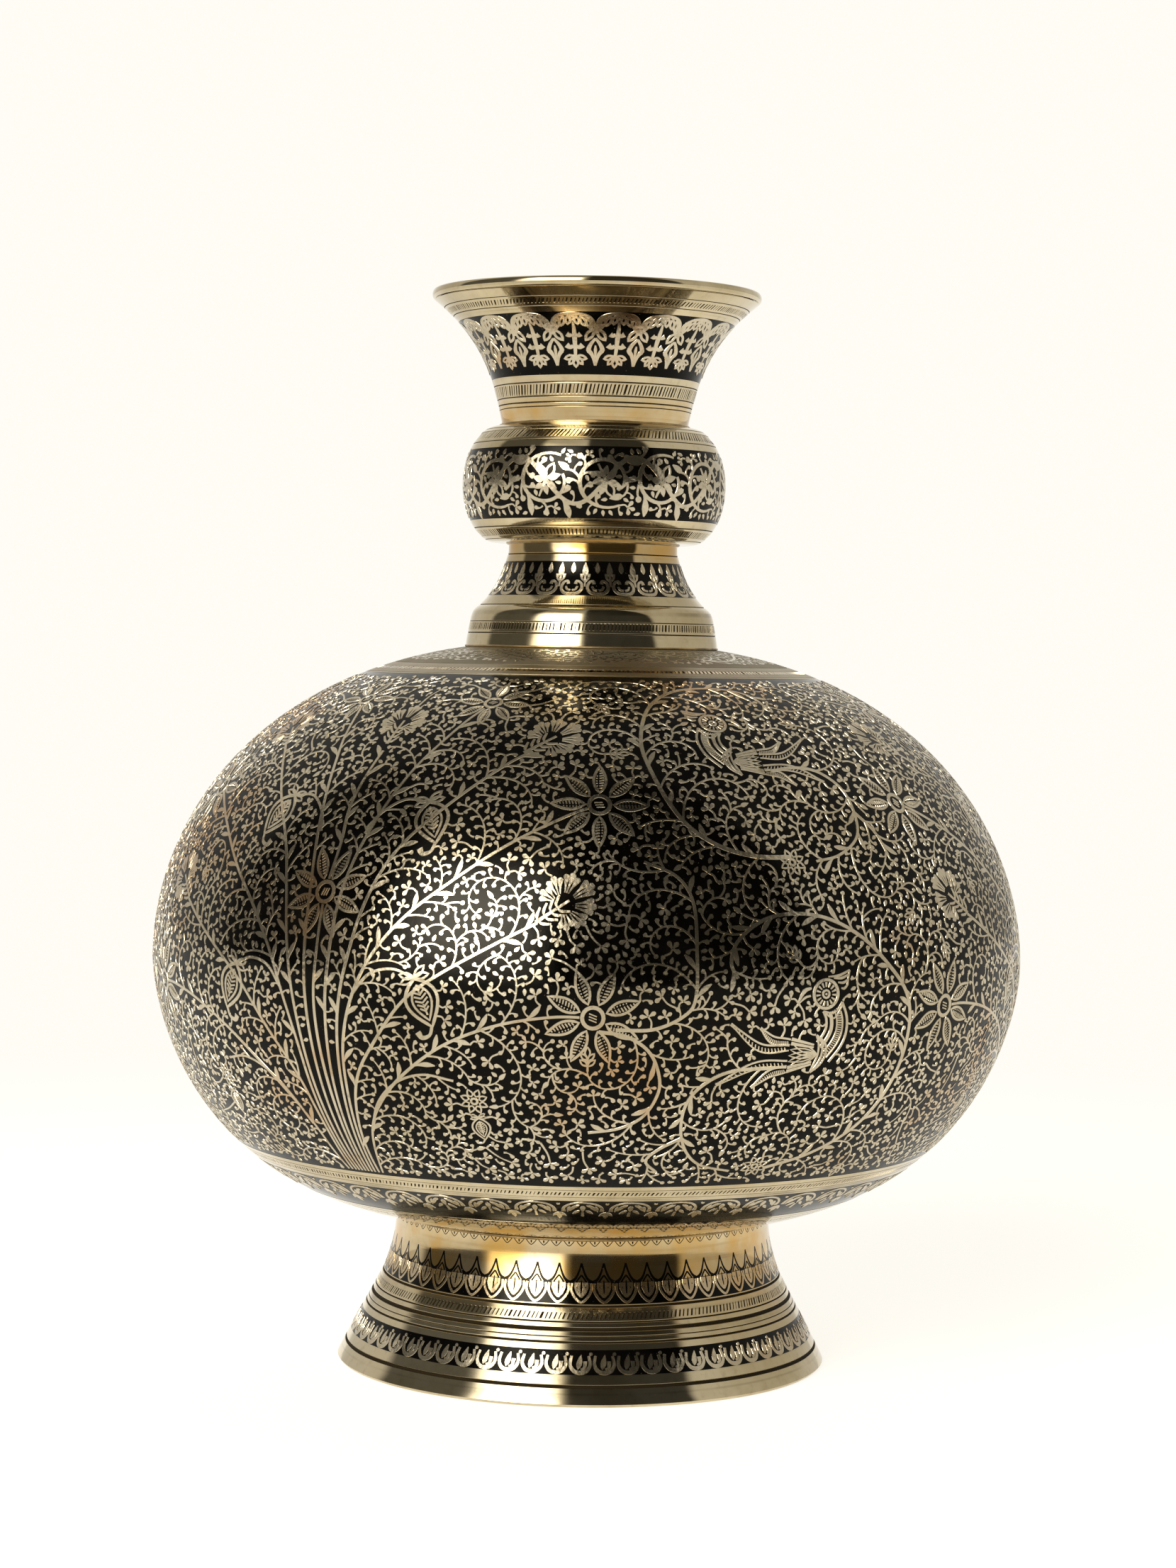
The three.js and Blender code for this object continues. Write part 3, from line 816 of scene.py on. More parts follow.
# Stems that end in a star flower: its azimuth, height and scale
STAR_ENDS = {"low": (35.3, 111, 1.0), "high": (35.9, 164, 1.0), "top": (15.5, 189, 0.82)}
PODS = (((5.4, 114.4), (7.8, 120), (11, 121.6), (13.8, 119.4)),
        ((3.7, 155), (5.0, 160), (8.2, 164), (12, 163.6)))
LOW_STALK = ((5.1, 78), (7.2, 86), (10.4, 92), (14.2, 94.6), (18.2, 93.4))
BIRD_ROUTES = {
    "upper_scroll": [(1.4, 151), (-4, 151.5), (-9, 154.5), (-13, 160.5), (-16, 170.5), (-17.3, 180),
                     (-14.5, 188.5), (-8, 192.6), (2, 193.4), (9, 191.8), (10.6, 188.3)],
    "tail_scroll": [(2.5, 172.5), (7, 173.4), (11, 172.4), (13.8, 168.5), (14.3, 163), (13, 156), (9, 151.4),
                    (5, 149.9)],
    "outer_fork": [(14.2, 162), (16.5, 157), (17.5, 151)],
    "lower_scroll": [(0.9, 69.4), (8, 73.2), (14, 80.5), (17.3, 92), (18.1, 106), (17, 115.5), (13.8, 123.5),
                     (10, 130.5), (5.5, 135.3), (0.8, 137), (-3.7, 135.6), (-7.2, 130.5), (-8.2, 125),
                     (-7.4, 121)],
    "central": [(-22, 108), (-17.5, 108.2), (-14, 111.5), (-12.6, 116), (-12.4, 128), (-12.6, 140),
                (-14.5, 146.5), (-18.5, 150)],
    "lower_tail": [(-2, 97.6), (-7.5, 97), (-11, 93.3), (-12.8, 88), (-12.9, 81), (-11.6, 75), (-9, 71),
                   (-4.4, 69)],
    "left_ring": [(-24, 107.5), (-20.8, 106.4), (-18.2, 103), (-16.8, 98), (-16.4, 92), (-18, 85.3),
                  (-21, 81.8), (-25, 80.5)],
    "foot_ring": [(-12.6, 79), (-15.5, 75.8), (-17, 72.4), (-15.2, 69.2)],
}


def bush(field):
    """Stems that fan from one root, with their flowers."""
    stems = []
    for side in (-1, 1):
        for name, points in BUSH_STEMS.items():
            if name not in STAR_ENDS:
                stems.append(field.stem([(side * a, z) for a, z in points], 0.45, 0.7, 0.84))
                continue
            azimuth, z, scale = STAR_ENDS[name]
            path = field.stem([(side * a, h) for a, h in points + [(azimuth, z)]], 0.45, 0.68, 0.84, stop=3)
            heading = field.heading(path, len(path) - 1)
            star_flower(Pen(field, side * azimuth, BODY.reach(z), heading, scale))
            stems.append(path)
    stems.append(field.stem([(0, 65.4), (0.2, 85), (-0.2, 110), (0, 127), (0, 140)], 0.45, 0.65, 0.8, stop=3))
    star_flower(Pen(field, 0, BODY.reach(140)))
    stems.append(field.stem([(0, 140), (0.4, 152), (-0.4, 163), (0.2, 176)], 0.65, 0.7, 0.85, skip=3))
    carnation(Pen(field, 0, BODY.reach(182), 0, 0.95))
    for side in (-1, 1):
        for azimuth, z, turn in ((31.0, 138.5, 55), (27.4, 179.5, 50)):
            carnation(Pen(field, side * azimuth, BODY.reach(z), side * turn, 1.0, side))
        for stalk in PODS:
            path = field.stem([(side * a, z) for a, z in stalk], 0.8, 0.6)
            pod(Pen(field, *path[-1], side * 158, 1.35, side))
        field.stem([(side * a, z) for a, z in LOW_STALK], 0.8, 0.6)
        daisy(Pen(field, side * 20.6, BODY.reach(88.2)))
        pod(Pen(field, side * 20.9, BODY.reach(83.6), side * 172, 0.72, side))
    return stems


def bird_panel(field):
    """Two birds whose tails run into scrolls, and two daisies."""
    paths = []
    for name, points in BIRD_ROUTES.items():
        root, tip = (1.2, 0.8) if name in ("upper_scroll", "lower_scroll") else (0.95, 0.68)
        paths.append(field.stem([(BIRD_AXIS + a, z) for a, z in points], root, tip))
    for azimuth, z in ((1.4, 149.8), (-0.6, 68.9 + 1.2)):
        daisy(Pen(field, BIRD_AXIS + azimuth, BODY.reach(z)))
    bird(Pen(field, BIRD_AXIS + 4.3, BODY.reach(116.4), 0, 1.0, 1))
    bird(Pen(field, BIRD_AXIS - 3.6, BODY.reach(184.6), 0, 0.95, -1))
    return paths


def body_field():
    """One repeat of the body's ornament, and how many of its strokes are flowers and stems."""
    field = Field(BODY, BANDS["field"][0] + 0.5, BANDS["field"][1] - 0.5, SECTOR)
    stems = bush(field)
    paths = bird_panel(field)
    for path in stems + paths:
        field.dress(path, 7.0, 2.9, 9, 0.65)
    flowers = len(field.strokes)
    field.branch(5.2, (16, 34), (4.5, 9.5), 2.2)
    field.branch(3.5, (8, 20), (7, 14), 2.1, 0.3, 0.85)
    field.branch(2.7, (5, 12), (9, 17), 2.0, 0.2, 0.75)
    field.branch(2.4, (4, 8), (10, 20), 1.9, 0.1, 0.7)
    field.fill(1.18)
    return field, flowers


# ---- banded ornament -------------------------------------------------------------------------


def hatch(wall, low, high, pitch, slant, fill=0.62):
    """A ring of brass bars between engraved slits. Slant is how far a bar leans over its height."""
    relief = Relief(wall, lift=0.0, sink=0.22, bevel=0.03)
    bottom, top = wall.reach(low), wall.reach(high)
    radius = float(wall.radius_at((bottom + top) / 2))
    count = int(2 * math.pi * radius / pitch)
    lean = math.degrees(slant / radius)
    for k in range(count):
        azimuth = 360 * (k + RNG.uniform(-0.12, 0.12)) / count
        path = np.array([(azimuth - lean / 2, bottom), (azimuth + lean / 2, top)])
        relief.ribbon(path, pitch * fill * RNG.uniform(0.85, 1.12))
    return relief


def channel(low, high, depth=0.2):
    """A flat-bottomed cut between two heights."""
    return ((low + high) / 2, high - low, depth, 0.88)


# Rows of ticks: wall, lowest and highest point, pitch and slant
HATCHES = {
    "mouth_upper_ticks": (MOUTH, 297.8, 299.6, 1.12, 0.9),
    "mouth_lower_ticks": (MOUTH, 274.1, 277.2, 1.12, 0.7),
    "knop_upper_ticks": (KNOP, 261.8, 264.9, 1.15, 1.9),
    "knop_lower_ticks": (KNOP, 234.6, 237.1, 1.05, 0.0),
    "collar_ticks": (COLLAR, 208.5, 210.7, 1.02, 0.3),
    "shoulder_ticks": (BODY, 196.75, 198.7, 1.25, 1.3),
    "bowl_ticks": (BODY, 61.5, 63.1, 1.1, 0.9),
    "bowl_beads": (BODY, 49.2, 50.5, 1.25, 0.0),
    "foot_ticks": (FOOT, 21.7, 23.8, 1.25, 0.8),
}


def pens_round(relief, count, along, offset=0.0):
    """For each repeat round the axis, a pen on it and a pen halfway to the next."""
    for k in range(count):
        yield [Pen(relief, 360 * (k + share) / count + offset, along) for share in (0, 0.5)]


def mouth_arcade():
    """Scalloped arches full of hollow leaves, a flowering stem under each and a pendant between."""
    relief = Relief(MOUTH)
    top = MOUTH.reach(BANDS["mouth_arcade"][1]) - 0.4
    leaves = ((1.0, -0.9, 172, 2.9), (2.4, -1.0, 163, 3.5), (3.9, -1.6, 163, 3.9), (5.1, -3.0, 172, 3.3))
    for pen, between in pens_round(relief, 18, top, 9.5):
        pen.curve([(-5.9, -4.6), (-5.6, -2.6), (-4.3, -1.1), (-2.2, -0.45), (0, -0.3), (2.2, -0.45),
                   (4.3, -1.1), (5.6, -2.6), (5.9, -4.6)],
                  [1.1, 0.95, 0.9, 0.95, 1.1, 0.95, 0.9, 0.95, 1.1], 3)
        pen.ring((0, -1.7), 0.6, 0.8, 10)
        for side in (-1, 1):
            for x, y, heading, length in leaves:
                pen.loop((side * x, y), side * heading, length, 1.35, 0.68, 1.25, 9)
            pen.curve([(side * 0.5, -7.0), (side * 1.2, -7.4), (side * 2.0, -6.9)], [0.8, 1.0, 1.5])
            pen.curve([(side * 0.4, -10.6), (side * 1.4, -10.9), (side * 2.3, -10.2)], [1.0, 1.15, 1.7])
            pen.loop((side * 0.3, -13.6), side * 103, 2.9, 1.2, 0.62)
            pen.loop((side * 0.2, -13.7), side * 142, 2.8, 1.2, 0.62)
        pen.loop((0, -13.6), 180, 3.1, 1.5, 0.62)
        pen.curve([(0, -3.0), (0.2, -5.0), (0.15, -8.0), (0.1, -11.4), (0, -13.8)],
                  [0.4, 0.9, 1.35, 1.0, 0.8])
        between.stroke([(0, -4.0), (0, -5.4), (0, -7.0)], [0.8, 1.4, 0.7])
        for side in (-1, 1):
            between.loop((side * 0.3, -5.2), side * 146, 4.3, 1.7, 0.75, 1.2, 9)
            between.curve([(0, -8.2), (side * 1.3, -10.0), (side * 1.9, -11.7), (side * 1.1, -12.8),
                           (side * 0.5, -14.2), (0, -16.2)], [0.7, 1.0, 1.35, 1.1, 0.85, 0.7], 3)
        between.stroke([(0, -10.3), (0, -11.6), (0, -14.2)], [0.35, 0.9, 0.35])
    return relief


def lotus_band():
    """Low scallops with hanging drops, right under the body's field."""
    relief = Relief(BODY)
    top = BODY.reach(BANDS["lotus"][1]) - 0.6
    drops = ((0.9, -1.5, 130, 3.2), (1.9, -1.8, 155, 3.4), (3.3, -2.4, 168, 3.2), (0.8, -4.6, 140, 2.8))
    for pen, between in pens_round(relief, 46, top):
        pen.curve([(-5.0, -5.2), (-4.9, -3.0), (-3.2, -1.0), (0, -0.2), (3.2, -1.0), (4.9, -3.0),
                   (5.0, -5.2)], [1.1, 0.7, 0.6, 0.7, 0.6, 0.7, 1.1], 3)
        pen.leaf((0, -2.0), 180, 3.4, 1.2)
        for side in (-1, 1):
            for x, y, heading, length in drops:
                pen.leaf((side * x, y), side * heading, length, 0.85)
        pen.stroke([(0, -5.6), (0, -8.4)], [0.5, 0.7])
        for side in (-1, 1):
            between.leaf((0, -5.8), side * 145, 3.0, 1.0)
        between.leaf((0, -6.2), 180, 3.8, 1.3)
        between.dot((0, -0.9), 0.9)
    return relief


def collar_petals():
    """Upturned petals with curled tips, a drop rising between each pair."""
    relief = Relief(COLLAR)
    bottom = COLLAR.reach(BANDS["collar_petals"][0]) + 0.6
    for pen, between in pens_round(relief, 24, bottom, 3):
        for side in (-1, 1):
            pen.curve([(0, 0), (side * 1.9, 0.3), (side * 2.9, 1.8), (side * 2.5, 3.6), (side * 1.3, 4.2),
                       (side * 1.0, 3.2)], [0.9, 0.9, 0.8, 0.7, 0.7, 0.9], 3)
            pen.curve([(side * 0.2, 1.2), (side * 1.2, 1.5), (side * 1.6, 2.5)], [0.6, 0.6, 0.5], 3)
        pen.leaf((0, 6.6), 0, 3.2, 1.2)
        between.stroke([(0, 2.4), (0, 4.5), (0, 6.3)], [0.4, 0.6, 0.5])
        between.leaf((0, 5.4), 0, 4.4, 1.5)
        for side in (-1, 1):
            between.curve([(0, 4.0), (side * 0.9, 5.0), (side * 1.0, 6.4)], [0.4, 0.5, 0.9], 3)
    return relief


def foot_petals():
    """Small upturned petals shoulder to shoulder, with a dot over each gap."""
    relief = Relief(FOOT)
    bottom = FOOT.reach(BANDS["foot_petals"][0]) + 0.5
    for pen, _ in pens_round(relief, 62, bottom):
        pen.curve([(-2.3, 4.8), (-2.7, 2.4), (-1.7, 0.6), (0, 0.1), (1.7, 0.6), (2.7, 2.4), (2.3, 4.8)],
                  [0.7, 0.85, 1.0, 1.15, 1.0, 0.85, 0.7], 3)
        pen.leaf((-0.6, 1.0), 12, 4.2, 1.35)
        pen.curve([(0.2, 1.0), (1.2, 1.5), (1.35, 3.3)], [0.6, 0.8, 1.1], 3)
        pen.dot((2.9, 5.3), 0.9)
    return relief


def foot_leaves():
    """Pointed buds whose tips run up onto the plain brass, where their outlines are lacquer lines."""
    buds, lines = Relief(FOOT, lift=0.03), Relief(FOOT, lift=0.012, sink=0.02, bevel=0.03)
    bottom = FOOT.reach(26.1)
    count = 56
    for pen, _ in pens_round(buds, count, bottom):
        pen.curve([(-2.6, 5.2), (-2.7, 3.2), (-1.6, 1.2), (0, 0), (1.6, 1.2), (2.7, 3.2), (2.6, 5.2)], 0.6, 3)
        pen.stroke([(0, 1.3), (0, 2.3), (0, 4.0), (0, 5.4)], [0.5, 2.4, 3.9, 3.7])
    for pen, _ in pens_round(lines, count, bottom):
        for side in (-1, 1):
            pen.curve([(side * 3.0, 5.4), (side * 1.9, 6.1), (side * 1.1, 7.3), (side * 0.45, 9.0),
                       (0, 10.6)], [0.95, 0.75, 0.6, 0.5, 0.5], 3)
            pen.curve([(side * 1.9, 3.9), (side * 1.3, 5.6), (0, 7.4)], [0.3, 0.5, 0.45], 3)
            pen.curve([(side * 0.3, 1.7), (side * 1.1, 3.2), (side * 1.25, 4.6)], [0.3, 0.5, 0.3], 3)
        pen.stroke([(0, 2.0), (0, 4.0), (0, 6.0)], [0.25, 0.5, 0.25])
    return buds, lines


def foot_fringe():
    """Small hooks hung from the foot's top edge, drawn in lacquer lines."""
    lines = Relief(FOOT, lift=0.012, sink=0.02, bevel=0.03)
    top = FOOT.reach(FOOT_TOP) - 0.2
    for pen, _ in pens_round(lines, 96, top):
        pen.curve([(-1.5, 0), (-0.9, -0.8), (0, -1.5), (0.9, -0.8), (1.5, 0)], 0.2, 3)
        pen.stroke([(0, -0.3), (0, -1.0)], [0.5, 0.2])
    return lines


def knop_vine():
    """A running vine: scrolls above and below in turn, each closing on a leafy flower."""
    waves = 7
    sector = 360 / waves
    low, high = BANDS["knop_vine"]
    field = Field(KNOP, low + 0.4, high - 0.4, sector, 0.6, 0.4)
    field.scale = 1.5
    middle = KNOP.reach(KNOP_WAIST_Z)
    for flip, centre in ((1, sector * 0.25), (-1, sector * 0.75)):
        turn = np.radians(np.linspace(-118, 200, 30))
        reach = np.linspace(8.2, 5.0, 30)
        pen = Pen(field, centre, middle)
        coil = np.stack([-np.cos(turn) * reach * 1.02, flip * np.sin(turn) * reach * 0.95], 1)
        pen.stroke(coil, np.interp(np.linspace(0, 1, 30), [0, 0.3, 1], [0.6, 1.15, 0.75]))
        head = Pen(field, centre, middle, 155 if flip > 0 else 25)
        head.loop((0, 0.8), 0, 4.2, 2.2, 0.6)
        for side in (-1, 1):
            head.leaf((side * 0.4, 0.6), side * 48, 3.8, 1.9)
            head.leaf((side * 0.5, -0.4), side * 98, 3.4, 1.8)
            head.leaf((side * 0.3, -1.4), side * 140, 2.8, 1.5)
        head.stroke([(0, -5.0), (0, -2.0), (0, 1.0)], [0.5, 0.8, 1.2])
        field.dress(pen.chart(coil), 2.7, 2.3, 2, 0.1, 0.6)
        field.grow_from(pen.chart(coil))
    span = np.linspace(0, sector, 40)
    wave = np.stack([span, middle - 6.6 * np.cos(np.radians(span * waves))], 1)
    field.ribbon(wave, 1.15)
    field.dress(wave, 2.7, 2.3, 1, 0.1, 0.6)
    field.grow_from(wave)
    field.branch(4.0, (5, 11), (7, 16), 1.9, 0.1)
    field.fill(1.0)
    return field, [sector * k - 8 for k in range(waves)]


def shoulder_scroll():
    """A worn running scroll between the collar and the body's top band."""
    waves = 6
    sector = 360 / waves
    field = Field(BODY, 199.7, 203.4, sector, 0.9, 0.4, lift=0.03, sink=0.03, bevel=0.08)
    middle = (field.low + field.high) / 2
    span = np.linspace(0, sector, 40)
    wave = np.stack([span, middle + 4.6 * np.sin(np.radians(span * waves))], 1)
    field.ribbon(wave, 0.8)
    field.grow_from(wave)
    field.branch(4.5, (8, 22), (7, 14), 2.2, 0.3)
    field.branch(4.0, (5, 10), (9, 16), 2.2, 0.2)
    field.fill(1.3)
    return field, [sector * k for k in range(waves)]


# ---- materials -------------------------------------------------------------------------------


class Graph:
    """Short names for building a node tree."""

    def __init__(self, tree):
        self.tree = tree

    def node(self, kind, **settings):
        made = self.tree.nodes.new(kind)
        for key, value in settings.items():
            setattr(made, key, value)
        return made

    def feed(self, socket, value):
        if isinstance(value, bpy.types.NodeSocket):
            self.tree.links.new(value, socket)
        else:
            socket.default_value = value

    def math(self, operation, *values):
        made = self.node("ShaderNodeMath", operation=operation)
        for socket, value in zip(made.inputs, values):
            self.feed(socket, value)
        return made.outputs[0]

    def times(self, first, *others):
        for other in others:
            first = self.math("MULTIPLY", first, other)
        return first

    def spread(self, value, low, high, out_low=0.0, out_high=1.0):
        """Smoothly maps low..high to out_low..out_high."""
        made = self.node("ShaderNodeMapRange", interpolation_type="SMOOTHSTEP")
        for socket, number in zip(made.inputs, (value, low, high, out_low, out_high)):
            self.feed(socket, number)
        return made.outputs[0]

    def window(self, value, low, high, soft):
        """1 between low and high, 0 outside, with soft edges."""
        rise = self.spread(value, low - soft, low + soft)
        fall = self.spread(value, high - soft, high + soft, 1.0, 0.0)
        return self.math("MULTIPLY", rise, fall)

    def mix(self, share, first, second):
        made = self.node("ShaderNodeMix", data_type="RGBA")
        self.feed(made.inputs["Factor"], share)
        self.feed(made.inputs[6], first)
        self.feed(made.inputs[7], second)
        return made.outputs[2]

    def noise(self, vector, scale, detail=3.0, roughness=0.55):
        made = self.node("ShaderNodeTexNoise")
        self.feed(made.inputs["Vector"], vector)
        made.inputs["Scale"].default_value = scale
        made.inputs["Detail"].default_value = detail
        made.inputs["Roughness"].default_value = roughness
        return made.outputs[0]

    def bump(self, height, strength, distance, normal=None):
        made = self.node("ShaderNodeBump")
        made.inputs["Strength"].default_value = strength
        made.inputs["Distance"].default_value = distance
        self.feed(made.inputs["Height"], height)
        if normal is not None:
            self.feed(made.inputs["Normal"], normal)
        return made.outputs[0]


def new_material(name):
    material = bpy.data.materials.new(name)
    material.use_nodes = True
    graph = Graph(material.node_tree)
    shader = material.node_tree.nodes["Principled BSDF"]
    place = graph.node("ShaderNodeTexCoord").outputs["Object"]
    return material, graph, shader, place


def round_the_axis(graph, place):
    """Coordinates that change with radius and height only, so that a texture on them runs in rings."""
    parts = graph.node("ShaderNodeSeparateXYZ")
    graph.feed(parts.inputs[0], place)
    x, y, z = parts.outputs
    radius = graph.math("SQRT", graph.math("ADD", graph.times(x, x), graph.times(y, y)))
    joined = graph.node("ShaderNodeCombineXYZ")
    graph.feed(joined.inputs[0], radius)
    graph.feed(joined.inputs[2], z)
    return joined.outputs[0]


GRIME = (0.26, 0.20, 0.11, 1)
RUST = (0.42, 0.22, 0.075, 1)
STREAK = (0.17, 0.125, 0.06, 1)
AMBER = (0.53, 0.31, 0.075, 1)
# the dark of filled grooves, also used as painted shade at the feet of engraved lines and on the shoulder
TARNISH_AND_SHADE_COLOR = (0.030, 0.021, 0.010, 1)


def brass(name, clean, aged, roughness, turned, dullness):
    """Aged yellow metal: cloudy tarnish, dark grooves, painted shade and amber heat marks where attributes
    ask for them.
    """
    material, graph, shader, place = new_material(name)
    cloud = graph.noise(place, 26.0, 5.0, 0.6)
    grain = graph.noise(place, 420.0, 3.0, 0.6)
    tarnish_and_shade = graph.node("ShaderNodeAttribute", attribute_name="tarnish_and_shade").outputs["Fac"]
    amber = graph.node("ShaderNodeAttribute", attribute_name="amber").outputs["Fac"]
    color = graph.mix(graph.spread(cloud, 0.38, 0.68), clean, aged)
    color = graph.mix(graph.spread(grain, 0.5, 0.8, 0.0, dullness), color, GRIME)
    rust = graph.times(graph.spread(graph.noise(place, 17.0, 4.0, 0.6), 0.56, 0.68), dullness)
    color = graph.mix(rust, color, RUST)
    amber = graph.times(amber, graph.spread(graph.noise(place, 55.0, 3.0), 0.36, 0.62, 0.25, 0.95))
    if turned:
        streaks = graph.spread(graph.noise(round_the_axis(graph, place), 420.0, 3.0), 0.52, 0.72)
        streaks = graph.times(streaks, graph.spread(graph.noise(place, 48.0, 4.0), 0.4, 0.65, 0.1, 0.75))
        color = graph.mix(streaks, color, STREAK)
    color = graph.mix(amber, color, AMBER)
    # darkens grooves, and paints shade at the feet of engraved lines and on the shoulder
    color = graph.mix(tarnish_and_shade, color, TARNISH_AND_SHADE_COLOR)
    graph.feed(shader.inputs["Base Color"], color)
    shader.inputs["Metallic"].default_value = 1.0
    rough = graph.spread(graph.noise(place, 75.0, 4.0), 0.3, 0.75, roughness * 0.75, roughness * 1.35)
    rough = graph.math("MAXIMUM", rough, graph.times(tarnish_and_shade, 0.8))
    graph.feed(shader.inputs["Roughness"], rough)
    if turned:
        rings = graph.bump(graph.noise(round_the_axis(graph, place), 2600.0, 2.0), 0.06, 0.00003)
        graph.feed(shader.inputs["Normal"], graph.bump(graph.noise(place, 45.0, 2.0), 0.10, 0.0004, rings))
    else:
        dents = graph.bump(graph.noise(place, 260.0, 2.0), 0.35, 0.0004)
        graph.feed(shader.inputs["Normal"], graph.bump(graph.noise(place, 1100.0, 3.0), 0.3, 0.0001, dents))
    return material


def lacquer(name):
    """Glossy black fill, faintly cloudy, with tiny pits and dust."""
    material, graph, shader, place = new_material(name)
    cloud = graph.noise(place, 55.0, 5.0, 0.6)
    pits = graph.noise(place, 1500.0, 2.0, 0.5)
    color = graph.mix(graph.spread(cloud, 0.42, 0.75), (0.0006, 0.0005, 0.0004, 1),
                      (0.0025, 0.0020, 0.0015, 1))
    color = graph.mix(graph.spread(pits, 0.70, 0.78), color, (0.045, 0.036, 0.022, 1))
    graph.feed(shader.inputs["Base Color"], color)
    graph.feed(shader.inputs["Roughness"], graph.spread(cloud, 0.3, 0.75, 0.08, 0.14))
    shader.inputs["Specular IOR Level"].default_value = 0.085
    shader.inputs["Specular Tint"].default_value = (1.0, 0.93, 0.78, 1)
    wave = graph.bump(graph.noise(place, 140.0, 2.0), 0.12, 0.0004)
    graph.feed(shader.inputs["Normal"], graph.bump(pits, 0.12, 0.00008, wave))
    return material


def solder(name):
    """Yellow spelter run along a joint, dull and a little lumpy."""
    material, graph, shader, place = new_material(name)
    cloud = graph.noise(place, 90.0, 4.0)
    color = graph.mix(graph.spread(cloud, 0.35, 0.7), (0.44, 0.31, 0.14, 1), (0.16, 0.11, 0.055, 1))
    graph.feed(shader.inputs["Base Color"], color)
    shader.inputs["Metallic"].default_value = 1.0
    graph.feed(shader.inputs["Roughness"], graph.spread(cloud, 0.3, 0.8, 0.3, 0.5))
    graph.feed(shader.inputs["Normal"], graph.bump(graph.noise(place, 500.0), 0.3, 0.0002))
    return material


TURNED = brass("turned_brass", (0.61, 0.52, 0.345, 1), (0.45, 0.365, 0.21, 1), 0.075, True, 0.3)
ENGRAVED = brass("engraved_brass", (0.58, 0.51, 0.375, 1), (0.43, 0.36, 0.24, 1), 0.2, False, 0.6)
LACQUER = lacquer("black_lacquer")
SOLDER = solder("spelter_solder")


# ---- turned shells ---------------------------------------------------------------------------


def back_wall(wall, high, low, thickness, step=4.0):
    """The inside of a shell, from high to low."""
    along = np.arange(wall.reach(low), wall.reach(high), step)[::-1]
    return wall.section(along, -thickness)


def shell(name, rows, dark, rest, material=None, replaces=(), heat=None):
    """A lathe piece from its cut outer rows and the plain rows that close it."""
    outline = np.vstack([rows, rest])
    tarnish_and_shade = np.concatenate([dark, np.zeros(len(rest))])
    amber = amber_tint(outline[:, 1], heat)
    amber[len(rows):] *= 0.3
    return lathe(name, outline, material or TURNED, replaces, tarnish_and_shade, amber)


def hatch_cuts(wall):
    """The sunk channels that a wall's rows of ticks stand in, in the order of HATCHES."""
    return [channel(low, high) for band, low, high, _, _ in HATCHES.values() if band is wall]


def make_foot():
    quarter = np.radians(np.linspace(0, 80, 7))
    foot_edge = np.stack([FOOT_RADIUS - 1.1 + 1.1 * np.sin(quarter), 1.1 - 1.1 * np.cos(quarter)], 1)
    rows, dark = cut_rows(FOOT, 1.6, FOOT_TOP, FOOT_CUTS + hatch_cuts(FOOT),
                          (BANDS["foot_petals"], BANDS["foot_leaves"]))
    shell("foot_shell", np.vstack([foot_edge, rows]), np.concatenate([np.zeros(len(foot_edge)), dark]),
          np.vstack([back_wall(FOOT, FOOT_TOP, 4.0, WALL_THICKNESS), [(FOOT_RADIUS - 3.3, 0)]]),
          replaces=("foot_pedestal",), heat="foot")


def make_bowl():
    bottom = box_mm("body_lower_bowl")[0].z + 4.0
    inner = 48.2
    rows, dark = cut_rows(BODY, BOWL_Z, BELLY_Z, BOWL_CUTS + hatch_cuts(BODY)[1:],
                          (BANDS["lotus"], (BANDS["field"][0], BELLY_Z + 0.1)))
    floor = [(50.6, bottom + 2.1), (50.6, bottom - 4), (inner, bottom - 4), (inner, bottom + 1.8),
             (33, bottom + 0.4), (0, bottom), (0, bottom + 2.4), (33, bottom + 2.8), (inner, bottom + 4.3)]
    shell("bowl_shell", rows, dark, np.vstack([
        [(BELLY_RADIUS - WALL_THICKNESS, BELLY_Z)], back_wall(BODY, 115, 47.5, WALL_THICKNESS), floor[::-1]]),
        replaces=("body_lower_bowl",))


def make_dome():
    rows, dark = cut_rows(BODY, BELLY_Z + 0.1, SHOULDER_Z - 0.1, DOME_CUTS + hatch_cuts(BODY)[:1],
                          ((BELLY_Z + 0.05, BANDS["field"][1]),))
    # a darker shoulder from the top of the field up, half dark over the ticks and darker over the scroll's
    # ground: partly patina, partly painted shade
    shoulder_patina_and_painted_shade = np.interp(rows[:, 1], [196.2, 196.3, 199.0, 199.3], [0, 0.5, 0.5, SHOULDER_PATINA_AND_SHADE])
    dark = np.maximum(dark, shoulder_patina_and_painted_shade)
    shell("dome_shell", rows, dark, np.vstack([
        [(33, 204), (33, 209), (31, 209), (31, 201.6)], back_wall(BODY, 200.5, 117.0, WALL_THICKNESS)]),
        replaces=("body_upper_dome",))


